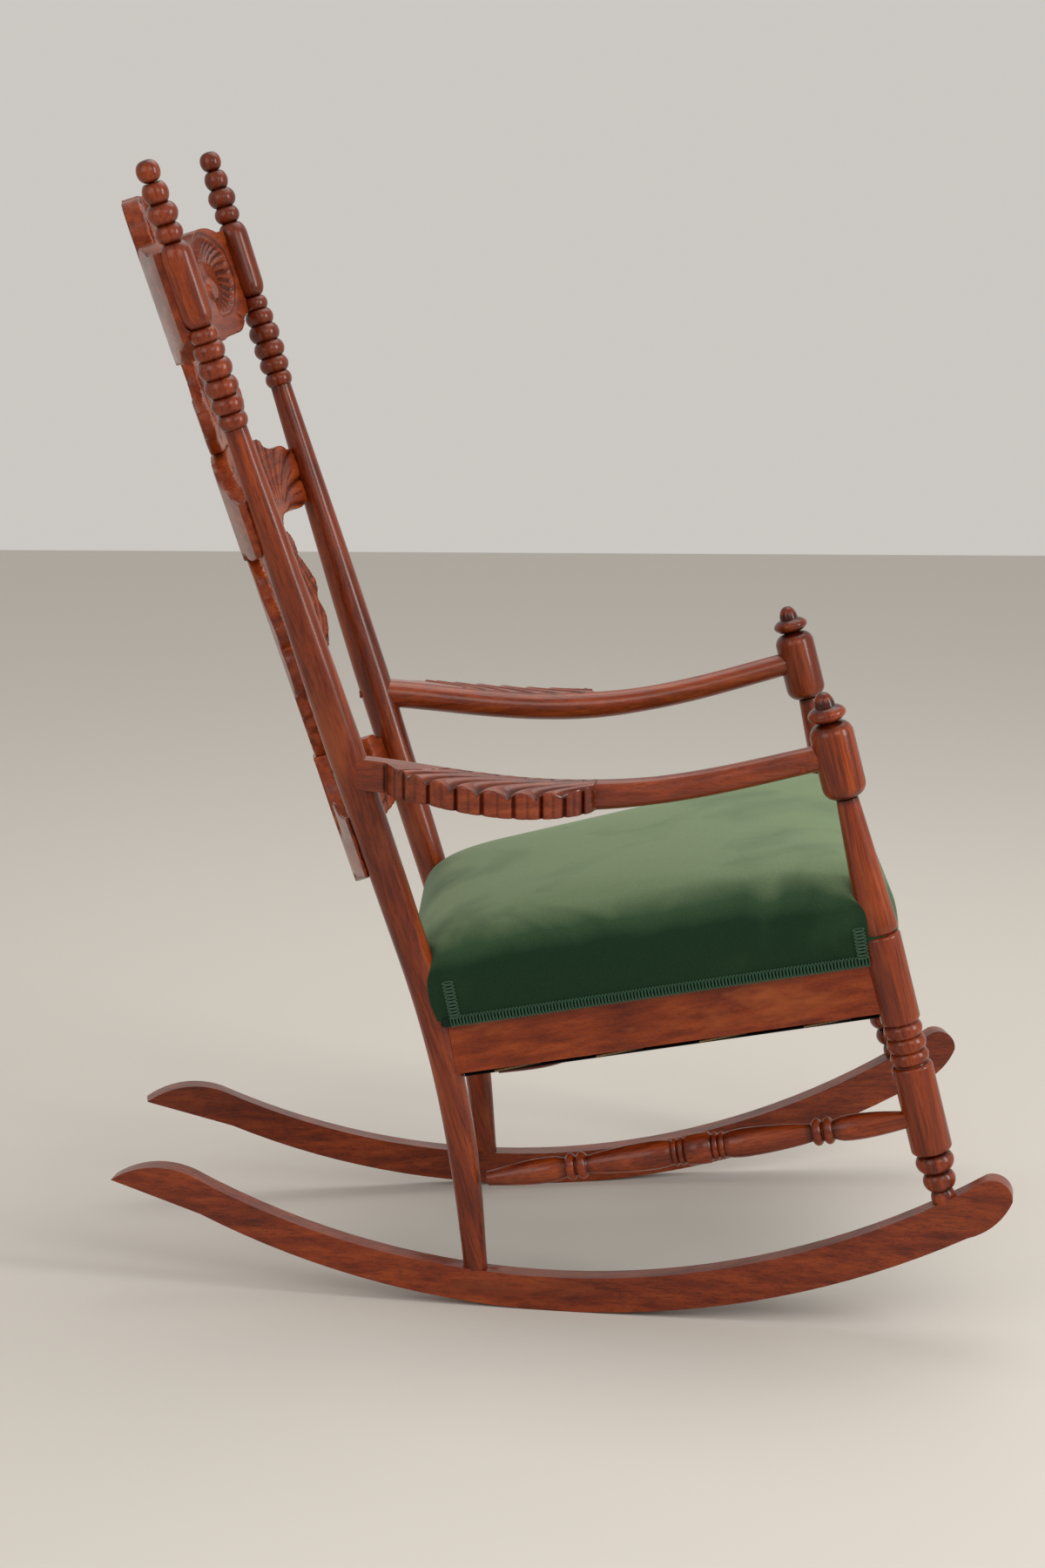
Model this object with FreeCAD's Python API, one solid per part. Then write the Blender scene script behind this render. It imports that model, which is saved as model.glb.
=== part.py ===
import FreeCAD, Part
import math
import os

# A carved high-back rocking chair: turned and bent posts on splayed rockers, a bowed
# pierced back, shell-carved arms and a sprung seat under velvet.
# Millimetres. +X is the way the sitter faces, +Y the sitter's left, +Z up. The origin
# is on the floor, in the middle of the chair's length and width.

V = FreeCAD.Vector

# Whole chair
height = 1221.0
side_names = {-1: "right", 1: "left"}

# Rockers: boards sawn to an arc, closer together at the tail than at the nose
rocker_length = 968.0
rocker_radius = 940.0
rocker_thickness = 25.0
rocker_low_x = 4.9
rocker_top_radius = 882.5
rocker_top_low_x = -7.6
rocker_waist = 37.8
rocker_tail_rise = 33.0
rocker_tail_run = 90.0
rocker_tail_flat_run = 100.0
rocker_tail_crown_run = 55.0
rocker_tail_crown_rise = 7.1
rocker_nose_rise = 42.3
rocker_nose_top_run = 28.0
rocker_nose_shoulder_drop = 4.4
rocker_nose_shoulder_run = 7.0
rocker_nose_start_run = 46.0
rocker_nose_cheek_rise = 18.8
rocker_nose_cheek_run = 15.0
leg_tenon_radius = 8.0
leg_tenon_length = 24.0

# Rear posts: turned, straight in the back and bent below the seat
post_top_x = -411.0
post_top_half = 287.0
bend_x = -102.6
bend_half = 201.5
bend_height = 246.0
rear_foot_x = -82.0
rear_foot_half = 206.0
rear_foot_height = 24.0
bend_run = 150.0
rear_turning_length = 282.0
rear_bead_radius = 18.0
rear_neck_radius = 12.2
rear_shaft_radius = 19.3
rear_foot_radius = 13.3

# Front posts: turned, straight, leaning back
front_foot_x = 415.0
front_foot_half = 280.0
front_foot_height = 139.0
front_top_x = 271.0
front_top_half = 297.0
front_top_rise = 69.0
front_post_radius = 21.6

# Side stretchers: turned, from leg to leg
stretcher_rear_height = 142.0
stretcher_front_height = 239.0
front_stretcher_height = 208.0
rear_stretcher_height = 186.0
stretcher_radius = 17.0
stretcher_end_radius = 7.5
stretcher_socket = 12.0

# Seat frame: four rails on a plane that rises to the front
seat_tilt = 11.6
seat_origin_x = -110.0
seat_origin_height = 260.0
rail_height = 88.0
side_rail_thickness = 24.0
side_rail_outset = 10.0
cross_rail_thickness = 22.0
rail_tenon_thickness = 10.0
rail_tenon_height = 54.0
rail_tenon_stop = 7.0
corner_block_leg = 78.0
corner_block_height = 40.0
corner_block_rise = 26.0
screw_radius = 2.2
screw_head_radius = 4.4
screw_head_height = 2.6
screw_length = 30.0

# Arms: a round bar in front, a carved shell over the rear half
arm_rear_share = 0.3538
arm_rise = 31.0
arm_bar_radius = 14.0
arm_rear_depth = 33.0
arm_shell_depth = 25.0
arm_shell_reach = 68.0
arm_shell_droop = 9.0
arm_sag = 35.0
arm_tenon_radius = 8.0
arm_tenon_length = 36.0
peg_radius = 4.5
peg_length = 62.0
peg_stand = 3.5
plug_radius = 4.5
plug_depth = 4.0
plug_setback = 17.0

# Back: three bowed rails between the posts and two pierced splats between the rails
bow_share = 0.161
back_face_offset = -2.0
back_rail_thickness = 20.0
splat_thickness = 14.0
splat_setback = 3.0
back_tenon_thickness = 8.0
back_tenon_reach = 6.0
back_tenon_margin = 14.0
rail_end_gap = 6.0
crest_base_share = 0.7989
crest_height_share = 0.1711
middle_base_share = 0.5838
middle_height_share = 0.1105
lower_base_share = 0.2171
lower_height_share = 0.1398
lower_splat_half = 188.0
upper_splat_half = 158.0

# Seat inside and cover
webbing_width = 50.0
webbing_thickness = 1.8
webbing_sag = 9.0
webbing_gap = 0.5
webbing_rail_lap = 14.0
dust_cover_sag = 15.0
dust_cover_thickness = 1.2
dust_cover_gap = 0.4
spring_radius = 36.0
spring_waist_radius = 21.0
spring_wire_radius = 2.0
spring_turns = 4
steps_in_turn = 10
burlap_rise = 34.0
burlap_thickness = 1.2
burlap_slope_run = 55.0
cushion_crown = 167.0
cushion_base = 56.0
cushion_outset = 2.0
cushion_front_corner = 45.0
cushion_rear_corner = 40.0
cover_thickness = 1.6
cloth_gap = 0.3
gimp_width = 11.0
gimp_thickness = 2.4
gimp_post_rise = 34.0
post_clearance = 1.0

# Each turned bead is two cones and a flat, to keep its faces few
bead_cheek_share = 0.28

# One overrun for every cut that passes right through, and one distance that counts as none
overrun = 40.0
touch = 0.01


# Helpers: directions, arcs and outlines
def unit(start, end):
    step = end - start
    return step / step.Length


def on_line(start, end, height_wanted):
    share = (height_wanted - start.z) / (end.z - start.z)
    return start + (end - start) * share


def chain(points_and_arcs):
    """Edges through rows: a row of one point is a line to it, a row of two is an arc."""
    edges = []
    here = points_and_arcs[0][0]
    for row in points_and_arcs[1:]:
        if len(row) > 1:
            edges.append(Part.Arc(here, row[0], row[1]).toShape())
        elif (row[0] - here).Length > touch:
            edges.append(Part.makeLine(here, row[0]))
        here = row[-1]
    return edges


def closed_wire(rows):
    edges = chain(rows)
    if (rows[-1][-1] - rows[0][0]).Length > touch:
        edges.append(Part.makeLine(rows[-1][-1], rows[0][0]))
    return Part.Wire(edges)


def rounded_wire(corners, radii):
    """A closed wire of lines, with each corner rounded to its radius."""
    rows = []
    count = len(corners)
    for index in range(count):
        corner = corners[index]
        before = unit(corner, corners[index - 1])
        after = unit(corner, corners[(index + 1) % count])
        half_angle = before.getAngle(after) / 2
        run = radii[index] / math.tan(half_angle)
        middle = (before + after).normalize()
        depth = radii[index] / math.sin(half_angle) - radii[index]
        rows.append((corner + before * run,))
        rows.append((corner + middle * depth, corner + after * run))
    return closed_wire(rows)


def tangent_arc(start, corner, end, run):
    """The arc that leaves one line and joins the next, a run away from their corner."""
    before = unit(corner, start)
    after = unit(corner, end)
    half_angle = before.getAngle(after) / 2
    radius = run * math.tan(half_angle)
    middle = (before + after).normalize()
    depth = radius / math.sin(half_angle) - radius
    return Part.Arc(corner + before * run, corner + middle * depth, corner + after * run)


def tilted(shape, angle, origin):
    """Place a shape drawn on a plane that leans by an angle about the Y axis."""
    moved = shape.copy()
    turn = FreeCAD.Rotation(V(0, 1, 0), -angle)
    moved.Placement = FreeCAD.Placement(origin, turn).multiply(moved.Placement)
    return moved


def along(shape, start, end):
    """Place a shape that was drawn along +Z so that it runs from start to end."""
    moved = shape.copy()
    turn = FreeCAD.Rotation(V(0, 0, 1), end - start)
    moved.Placement = FreeCAD.Placement(start, turn).multiply(moved.Placement)
    return moved


def rod(start, end, radius):
    return Part.makeCylinder(radius, (end - start).Length, start, end - start)


def mirrored(shape):
    return shape.mirror(V(0, 0, 0), V(0, 1, 0))


def biggest(shape):
    return max(shape.Solids, key=lambda solid: solid.Volume)


def turned(rows):
    """Revolve a lathe outline, given as rows of (distance, radius) points, about Z."""
    first = rows[0][0]
    last = rows[-1][-1]
    outline = [(V(0, 0, first[0]),)]
    for row in rows:
        outline.append(tuple(V(radius, 0, distance) for distance, radius in row))
    outline.append((V(0, 0, last[0]),))
    face = Part.Face(closed_wire(outline))
    return face.revolve(V(0, 0, 0), V(0, 0, 1), 360)


def bead_rows(bead_shares, length, radius):
    """Rows for a stack of beads: start, end, peak radius and groove radius shares."""
    rows = []
    for start, end, peak, groove in bead_shares:
        cheek = (end - start) * bead_cheek_share
        rows.append(((start * length, groove * radius),))
        rows.append((((start + cheek) * length, peak * radius),))
        rows.append((((end - cheek) * length, peak * radius),))
        rows.append(((end * length, groove * radius),))
    return rows


def barrel_rows(start, end, low_radius, high_radius, shoulder):
    """Rows for a turned barrel with rounded shoulders."""
    inset = shoulder * (1 - math.cos(math.pi / 4))
    return [
        ((start, low_radius - shoulder),),
        ((start + inset, low_radius - inset),),
        ((start + shoulder, low_radius),),
        ((end - shoulder, high_radius),),
        ((end - inset, high_radius - inset),),
        ((end, high_radius - shoulder),),
    ]


# Rockers
splay = math.atan((front_foot_half - rear_foot_half) / (front_foot_x - rear_foot_x))
rocker_half_at_zero = rear_foot_half - rear_foot_x * math.tan(splay)


def rocker_bottom(run):
    across = run - rocker_low_x
    return rocker_radius - math.sqrt(rocker_radius ** 2 - across ** 2)


def rocker_top(run):
    across = run - rocker_top_low_x
    drop = math.sqrt(rocker_top_radius ** 2 - across ** 2)
    return rocker_waist + rocker_top_radius - drop


def rocker_outline():
    tail = -rocker_length / 2 / math.cos(splay)
    nose = -tail
    flat_start = tail + rocker_tail_flat_run
    shoulder = tail + rocker_tail_run
    nose_start = nose - rocker_nose_start_run
    nose_top = nose - rocker_nose_top_run
    tail_tip = rocker_bottom(flat_start) + rocker_tail_rise
    crown = rocker_top(shoulder) + rocker_tail_crown_rise
    cheek = rocker_bottom(nose_start) + rocker_nose_cheek_rise
    nose_tip = rocker_bottom(nose_start) + rocker_nose_rise
    nose_shoulder = rocker_top(nose_top) - rocker_nose_shoulder_drop
    rows = [
        (V(tail, 0, tail_tip),),
        (V(flat_start, 0, rocker_bottom(flat_start)),),
        (V(rocker_low_x, 0, 0), V(nose_start, 0, rocker_bottom(nose_start))),
        (V(nose - rocker_nose_cheek_run, 0, cheek), V(nose, 0, nose_tip)),
        (V(nose - rocker_nose_shoulder_run, 0, nose_shoulder),
         V(nose_top, 0, rocker_top(nose_top))),
        (V(rocker_top_low_x, 0, rocker_waist), V(shoulder, 0, rocker_top(shoulder))),
        (V(tail + rocker_tail_crown_run, 0, crown), V(tail, 0, tail_tip)),
    ]
    return Part.Face(closed_wire(rows))


def rocker_board(side, thickness):
    face = rocker_outline()
    face.translate(V(0, -thickness / 2, 0))
    board = face.extrude(V(0, thickness, 0))
    board.rotate(V(0, 0, 0), V(0, 0, 1), side * math.degrees(splay))
    board.translate(V(0, side * rocker_half_at_zero, 0))
    return board


# Rear posts
post_top = V(post_top_x, post_top_half, height)
post_bend = V(bend_x, bend_half, bend_height)
rear_foot = V(rear_foot_x, rear_foot_half, rear_foot_height)
rear_arc = tangent_arc(post_top, post_bend, rear_foot, bend_run)
rear_arc_start = rear_arc.value(rear_arc.FirstParameter)
back_angle = math.degrees(math.atan((bend_x - post_top_x) / (height - bend_height)))

# Each bead: start, end, peak radius, groove radius, as shares of the turned length
# and of the widest bead.
top_bead_shares = [
    (0.083, 0.158, 0.76, 0.50), (0.158, 0.234, 0.90, 0.55), (0.234, 0.300, 0.81, 0.52),
]
neck_bead_shares = [
    (0.620, 0.675, 0.81, 0.56), (0.675, 0.738, 0.91, 0.60), (0.738, 0.808, 1.00, 0.64),
    (0.808, 0.876, 1.00, 0.64), (0.876, 0.940, 0.95, 0.60), (0.940, 1.000, 0.86, 0.56),
]
ball_share = 0.69
barrel_start_share = 0.302
barrel_end_share = 0.618
barrel_radius_share = 0.82
barrel_shoulder_share = 0.26
# Shaft: distance down the straight part, then down the bend, with radius shares
shaft_straight_shares = [(0.00, 0.63), (0.30, 0.83), (0.60, 1.00), (1.00, 0.97)]
shaft_bend_shares = [(0.33, 0.90), (0.66, 0.86), (1.00, 0.85)]


def rear_turning():
    length = rear_turning_length
    radius = rear_bead_radius
    ball = ball_share * radius
    ball_end = top_bead_shares[0][0] * length
    rows = [((0, ball / 3),), ((ball / 3, ball * 0.8),), ((ball * 0.8, ball),),
            ((ball * 1.3, ball),), ((ball_end, top_bead_shares[0][3] * radius),)]
    rows += bead_rows(top_bead_shares, length, radius)
    rows += barrel_rows(
        barrel_start_share * length, barrel_end_share * length,
        barrel_radius_share * radius, barrel_radius_share * radius,
        barrel_shoulder_share * radius)
    rows += bead_rows(neck_bead_shares, length, radius)
    return turned(rows)


def rear_shaft(extra):
    """The bent shaft below the beads, lofted through circles along its axis."""
    down = unit(post_top, post_bend)
    shaft_top = post_top + down * rear_turning_length
    circles = []
    for share, radius_share in shaft_straight_shares:
        centre = shaft_top + (rear_arc_start - shaft_top) * share
        circles.append((centre, down, radius_share * rear_shaft_radius))
    for share, radius_share in shaft_bend_shares:
        span = rear_arc.LastParameter - rear_arc.FirstParameter
        place = rear_arc.FirstParameter + span * share
        circles.append((rear_arc.value(place), V(*rear_arc.tangent(place)[0]),
                        radius_share * rear_shaft_radius))
    last = unit(post_bend, rear_foot)
    circles.append((rear_foot, last, rear_foot_radius))
    wires = []
    for centre, direction, radius in circles:
        wires.append(Part.Wire(Part.makeCircle(radius + extra, centre, direction)))
    return Part.makeLoft(wires, True, True)


def rear_axis_at(wanted):
    """The point of the bent axis at a height."""
    if wanted > rear_arc_start.z:
        return on_line(post_top, post_bend, wanted)
    low = rear_arc.LastParameter
    high = rear_arc.FirstParameter
    for _ in range(40):
        middle = (low + high) / 2
        if rear_arc.value(middle).z > wanted:
            high = middle
        else:
            low = middle
    return rear_arc.value(low)


def rear_post_blank():
    beads = along(rear_turning(), post_top, post_bend)
    return beads.fuse(rear_shaft(0)).removeSplitter()


# Front posts, tall enough to stand above the arms
arm_rear_height = bend_height + (height - bend_height) * arm_rear_share
arm_front_height = arm_rear_height + arm_rise
front_top_height = arm_front_height + front_top_rise
front_top = V(front_top_x, front_top_half, front_top_height)
front_foot = V(front_foot_x, front_foot_half, front_foot_height)
front_length = (front_top - front_foot).Length
front_disc_shares = [(0.026, 0.055, 0.91, 0.50)]
front_ring_shares = [
    (0.634, 0.660, 0.95, 0.82), (0.660, 0.688, 0.97, 0.82), (0.688, 0.713, 0.95, 0.82),
]
front_foot_bead_shares = [
    (0.890, 0.928, 0.95, 0.62), (0.928, 0.964, 0.81, 0.54), (0.964, 0.998, 0.61, 0.42),
]
knob_share = 0.50
front_barrel_shares = (0.056, 0.198, 1.00, 0.40)
front_taper_shares = (0.198, 0.455, 0.53, 0.82)
front_block_shares = (0.458, 0.632, 0.92, 0.14)
front_lower_shares = (0.715, 0.888, 1.00, 0.16)


def front_post_blank():
    length = front_length
    radius = front_post_radius
    knob = knob_share * radius
    rows = [((0, knob / 3),), ((knob / 3, knob * 0.85),), ((knob * 0.8, knob),)]
    rows.append(((front_disc_shares[0][0] * length, knob * 0.9),))
    rows += bead_rows(front_disc_shares, length, radius)
    start, end, wide, shoulder = front_barrel_shares
    rows += barrel_rows(start * length, end * length, wide * radius, wide * radius,
                        shoulder * radius)
    start, end, narrow, wide = front_taper_shares
    rows.append(((start * length, narrow * radius),))
    rows.append(((end * length, wide * radius),))
    for shares in (front_block_shares, front_lower_shares):
        start, end, wide, shoulder = shares
        rows += barrel_rows(start * length, end * length, wide * radius, wide * radius,
                            shoulder * radius)
        if shares is front_block_shares:
            rows += bead_rows(front_ring_shares, length, radius)
    rows += bead_rows(front_foot_bead_shares, length, radius)
    foot_radius = front_foot_bead_shares[-1][3] * radius
    rows.append(((length + leg_tenon_radius, foot_radius),))
    return along(turned(rows), front_top, front_foot)


# Side stretchers
stretcher_half_shares = [
    (0.000, 0.100, 1.00, 0.86), (0.100, 0.155, 0.90, 0.74),
]
stretcher_swell_shares = [(0.165, 0.90), (0.34, 0.82), (0.52, 0.58)]
stretcher_ring_shares = [(0.53, 0.575, 0.85, 0.66), (0.575, 0.62, 0.85, 0.66)]
stretcher_end_shares = [(0.64, 0.60), (0.71, 0.78), (0.84, 0.58)]


def stretcher(start, end):
    """A turned stretcher, the same from its middle to either end."""
    half = (end - start).Length / 2
    rows = [((0, stretcher_radius),)]
    rows += bead_rows(stretcher_half_shares, half, stretcher_radius)[2:]
    for share, radius_share in stretcher_swell_shares:
        rows.append(((share * half, radius_share * stretcher_radius),))
    rows += bead_rows(stretcher_ring_shares, half, stretcher_radius)
    for share, radius_share in stretcher_end_shares:
        rows.append(((share * half, radius_share * stretcher_radius),))
    rows.append(((half, stretcher_end_radius),))
    one_half = turned(rows)
    middle = (start + end) / 2
    return along(one_half, middle, end).fuse(along(one_half, middle, start)).removeSplitter()


def side_stretcher_piece():
    rear = rear_axis_at(stretcher_rear_height)
    front = on_line(front_top, front_foot, stretcher_front_height)
    reach = unit(rear, front)
    return stretcher(rear + reach * (rear_foot_radius - stretcher_socket / 3),
                     front - reach * (front_post_radius - stretcher_socket))


def cross_stretcher(axis_point, socket_setback):
    end = V(axis_point.x, axis_point.y - socket_setback, axis_point.z)
    return stretcher(V(end.x, -end.y, end.z), end)


# Seat frame, drawn on the seat's own plane: X forward, Z square to the plane
seat_origin = V(seat_origin_x, 0, seat_origin_height)


def to_seat_plane(point):
    turn = FreeCAD.Rotation(V(0, 1, 0), seat_tilt)
    return turn.multVec(point - seat_origin)


def on_seat(shape):
    return tilted(shape, seat_tilt, seat_origin)


def seat_corner(axis_at, low, high):
    """Where a post's axis crosses the middle of the rails, in the seat's plane."""
    for _ in range(40):
        middle = (low + high) / 2
        if to_seat_plane(axis_at(middle)).z > rail_height / 2:
            high = middle
        else:
            low = middle
    crossing = to_seat_plane(axis_at(low))
    return V(crossing.x, crossing.y, 0)


rear_corner = seat_corner(rear_axis_at, rear_foot_height + bend_run / 2, height / 2)
front_corner = seat_corner(lambda z: on_line(front_top, front_foot, z),
                           front_foot_height, front_top_height)
side_way = unit(rear_corner, front_corner)
side_out = V(-side_way.y, side_way.x, 0)


def prism(corners, low, high):
    points = [V(corner.x, corner.y, low) for corner in corners]
    face = Part.Face(Part.makePolygon(points + points[:1]))
    return face.extrude(V(0, 0, high - low))


def side_rail_blank():
    outer = side_out * side_rail_outset
    inner = side_out * (side_rail_outset - side_rail_thickness)
    corners = [rear_corner + outer, front_corner + outer, front_corner + inner,
               rear_corner + inner]
    return prism(corners, 0, rail_height)


def side_rail_tenons():
    """Flat tenons at both ends, each stopped short of its post's axis."""
    across = side_out * (rail_tenon_thickness / 2)
    offset = side_out * (side_rail_outset - side_rail_thickness / 2)
    low = (rail_height - rail_tenon_height) / 2
    blocks = []
    for corner, way in ((rear_corner, side_way), (front_corner, side_way * -1)):
        start = corner + way * rail_tenon_stop + offset
        end = corner + way * corner_block_height + offset
        corners = [start + across, end + across, end - across, start - across]
        blocks.append(prism(corners, low, low + rail_tenon_height))
    return blocks


def cross_rail_blank(corner, thickness):
    back = corner.x - thickness / 2
    front = corner.x + thickness / 2
    corners = [V(back, -corner.y, 0), V(front, -corner.y, 0),
               V(front, corner.y, 0), V(back, corner.y, 0)]
    return prism(corners, 0, rail_height)


def cross_rail_tenon(corner, side):
    half = rail_tenon_thickness / 2
    outer = side * (corner.y - rail_tenon_stop)
    inner = side * (corner.y - corner_block_height)
    low = (rail_height - rail_tenon_height) / 2
    corners = [V(corner.x - half, outer, 0), V(corner.x + half, outer, 0),
               V(corner.x + half, inner, 0), V(corner.x - half, inner, 0)]
    return prism(corners, low, low + rail_tenon_height)


def corner_block(corner, inward):
    """A block across an inside corner; the rails and the post are cut from it later."""
    along_side = side_way * inward
    toward_middle = V(0, -1, 0)
    corners = [corner, corner + along_side * corner_block_leg,
               corner + toward_middle * corner_block_leg]
    return prism(corners, corner_block_rise, corner_block_rise + corner_block_height)


def corner_screws(corner, inward):
    """Two screws through the block's long face, one into each rail."""
    along_side = side_way * inward
    toward_middle = V(0, -1, 0)
    face_middle = corner + (along_side + toward_middle) * (corner_block_leg / 2)
    square = (along_side + toward_middle).normalize()
    level = V(0, 0, corner_block_rise + corner_block_height / 2)
    spread = unit(corner + toward_middle * corner_block_leg,
                  corner + along_side * corner_block_leg) * (corner_block_leg / 4)
    screws = []
    for way, aim in ((1, side_out), (-1, V(-inward, 0, 0))):
        head = face_middle + spread * way + level - square * screw_head_height
        shank_way = (aim - square).normalize()
        tip = head + shank_way * screw_length
        shank = rod(head, tip, screw_radius)
        cap = rod(head, head + square * screw_head_height, screw_head_radius)
        screws.append(cap.fuse(shank).removeSplitter())
    return screws


# Arms
arm_path_shares = [(0.16, 0.46), (0.30, 0.12), (0.44, 0.00), (0.60, 0.10), (0.80, 0.48)]
shell_notch_shares = [
    (0.075, 0.28), (0.120, 0.62), (0.175, 0.80), (0.235, 0.94), (0.290, 1.00),
    (0.355, 1.00), (0.410, 0.90), (0.455, 0.72), (0.490, 0.50), (0.510, 0.20),
]
shell_bulge_share = 0.09
arm_bar_shares = [0.36, 0.46, 0.58, 0.70, 0.84, 1.00]
arm_rear_point = rear_axis_at(arm_rear_height)
arm_front_point = on_line(front_top, front_foot, arm_front_height)
arm_plan = V(arm_front_point.x - arm_rear_point.x, arm_front_point.y - arm_rear_point.y, 0)
arm_length = arm_plan.Length


def arm_points():
    """The arm's middle line in its own upright plane: X along the arm, Z up."""
    low = arm_rear_height - arm_sag * 0.66
    points = [V(0, 0, arm_rear_height + arm_sag * 0.12)]
    rise = arm_front_height - low
    for share, up in arm_path_shares:
        points.append(V(share * arm_length, 0, low + up * rise * 0.82))
    points.append(V(arm_length, 0, arm_front_height + arm_sag * 0.12))
    return points


def spline(points):
    curve = Part.BSplineCurve()
    curve.interpolate(points)
    return curve


def arm_in_place(shape):
    moved = shape.copy()
    angle = math.degrees(math.atan2(arm_plan.y, arm_plan.x))
    moved.rotate(V(0, 0, 0), V(0, 0, 1), angle)
    moved.translate(V(arm_rear_point.x, arm_rear_point.y, 0))
    return moved


def arm_blank():
    curve = spline(arm_points())
    shell_end = shell_notch_shares[-1][0] * arm_length
    # The round bar, from inside the shell to the front post
    circles = []
    for share in arm_bar_shares:
        place = curve.parameter(V(share * arm_length, 0, arm_rear_height))
        if share == arm_bar_shares[-1]:
            place = curve.LastParameter
        way = V(*curve.tangent(place)[0])
        circles.append(Part.Wire(Part.makeCircle(arm_bar_radius, curve.value(place), way)))
    bar = Part.makeLoft(circles, True, True)
    # The shell board: the side outline drawn down and outward, cut to the plan outline
    tops = []
    bottoms = []
    for share in (0, shell_end / arm_length / 2, shell_end / arm_length):
        place = curve.value(curve.parameter(V(share * arm_length, 0, arm_rear_height)))
        depth = arm_shell_depth if share else arm_rear_depth
        tops.append(V(share * arm_length, 0, place.z + depth / 2))
        bottoms.append(V(share * arm_length, 0, place.z - depth / 2))
    face = Part.Face(closed_wire([(bottoms[0],), (tops[0],), (tops[1], tops[2]), (bottoms[2],),
                                  (bottoms[1], bottoms[0])]))
    face.translate(V(0, -arm_bar_radius, 0))
    reach = arm_bar_radius + arm_shell_reach + arm_bar_radius
    sheet = face.extrude(V(0, reach, -arm_shell_droop))
    rows = [(V(0, -arm_bar_radius, 0),), (V(0, arm_bar_radius, 0),)]
    here = V(shell_notch_shares[0][0] * arm_length, shell_notch_shares[0][1] * arm_shell_reach, 0)
    rows.append((here,))
    for along_share, out_share in shell_notch_shares[1:]:
        there = V(along_share * arm_length, out_share * arm_shell_reach, 0)
        step = there - here
        bulge = V(-step.y, step.x, 0) * (shell_bulge_share * 2)
        rows.append(((here + there) / 2 + bulge, there))
        here = there
    rows.append((V(shell_end, -arm_bar_radius, 0),))
    plan = Part.Face(closed_wire(rows))
    tall = plan.extrude(V(0, 0, height))
    return arm_in_place(sheet.common(tall).fuse(bar).removeSplitter())


def arm_front_tenon():
    curve = spline(arm_points())
    end = curve.value(curve.LastParameter)
    way = V(*curve.tangent(curve.LastParameter)[0])
    start = end - way * arm_tenon_length
    return arm_in_place(rod(start, end, arm_tenon_radius))


def arm_peg():
    """A peg driven from behind the rear post into the end grain of the arm."""
    curve = spline(arm_points())
    start = curve.value(curve.FirstParameter)
    way = V(*curve.tangent(curve.FirstParameter)[0])
    tail = start - way * (rear_shaft_radius + peg_stand)
    return arm_in_place(rod(tail, tail + way * peg_length, peg_radius))


def arm_plug():
    """A wooden plug over the screw that holds the arm to the front post."""
    curve = spline(arm_points())
    end = curve.value(curve.LastParameter)
    way = V(*curve.tangent(curve.LastParameter)[0])
    place = end - way * (front_post_radius + plug_setback)
    outer = place + V(0, arm_bar_radius, 0)
    return arm_in_place(rod(outer - V(0, plug_depth, 0), outer, plug_radius))


def arm_screw():
    """A screw from under the plug, slanting through the bar into the post."""
    curve = spline(arm_points())
    end = curve.value(curve.LastParameter)
    way = V(*curve.tangent(curve.LastParameter)[0])
    place = end - way * (front_post_radius + plug_setback)
    head = place + V(0, arm_bar_radius - plug_depth, 0)
    aim = (end - head).normalize()
    cap = rod(head - V(0, screw_head_height, 0), head, screw_head_radius)
    shank_start = head - V(0, screw_head_height, 0)
    shank = rod(shank_start, shank_start + aim * screw_length, screw_radius)
    return arm_in_place(cap.fuse(shank).removeSplitter())


# Back, drawn on the plane of the rear posts: X forward, Z up the slope from the bend
back_origin = V(bend_x, 0, bend_height)
back_length = (height - bend_height) / math.cos(math.radians(back_angle))


crest_base = back_length * crest_base_share
crest_height = back_length * crest_height_share
middle_base = back_length * middle_base_share
middle_height = back_length * middle_height_share
lower_base = back_length * lower_base_share
lower_height = back_length * lower_height_share


def half_at(up):
    return bend_half + (post_top_half - bend_half) * up / back_length


def on_back(shape):
    return tilted(shape, back_angle, back_origin)


def bowed_slab(setback, thickness, low, high):
    """A board bowed backward between the posts: the same arc, narrower lower down."""
    bands = []
    for up in (low, high):
        half = half_at(up) + rail_end_gap
        sag = bow_share * half_at(up)
        front = back_face_offset - setback
        rear = front - thickness
        rows = [(V(front, -half, up),), (V(front - sag, 0, up), V(front, half, up)),
                (V(rear, half, up),), (V(rear - sag, 0, up), V(rear, -half, up))]
        bands.append(closed_wire(rows))
    return Part.makeLoft(bands, True, True)


def panel(outline_shares, half, base, tall):
    """An upright prism of an outline given for one half and mirrored for the other."""
    rows = []
    for row in outline_shares:
        rows.append(tuple(V(0, row[i] * half, base + row[i + 1] * tall)
                          for i in range(0, len(row), 2)))
    right = Part.Wire(chain(rows))
    left = right.mirror(V(0, 0, 0), V(0, 1, 0))
    wire = Part.Wire(Part.__sortEdges__(right.Edges + left.Edges))
    face = Part.Face(wire)
    face.translate(V(-overrun * 4, 0, 0))
    return face.extrude(V(overrun * 5, 0, 0))


def hole(centre_half, centre_up, wide, tall, slant):
    """A pierced opening: an upright ellipse, leaning by a slant."""
    ellipse = Part.Ellipse(V(0, 0, 0), max(wide, tall) / 2, min(wide, tall) / 2)
    face = Part.Face(Part.Wire(ellipse.toShape()))
    turn = 90 if tall > wide else 0
    face.rotate(V(0, 0, 0), V(0, 0, 1), turn + slant)
    face.rotate(V(0, 0, 0), V(0, 1, 0), 90)
    face.rotate(V(0, 0, 0), V(1, 0, 0), 90)
    face.translate(V(-overrun * 4, centre_half, centre_up))
    return face.extrude(V(overrun * 5, 0, 0))


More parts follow.
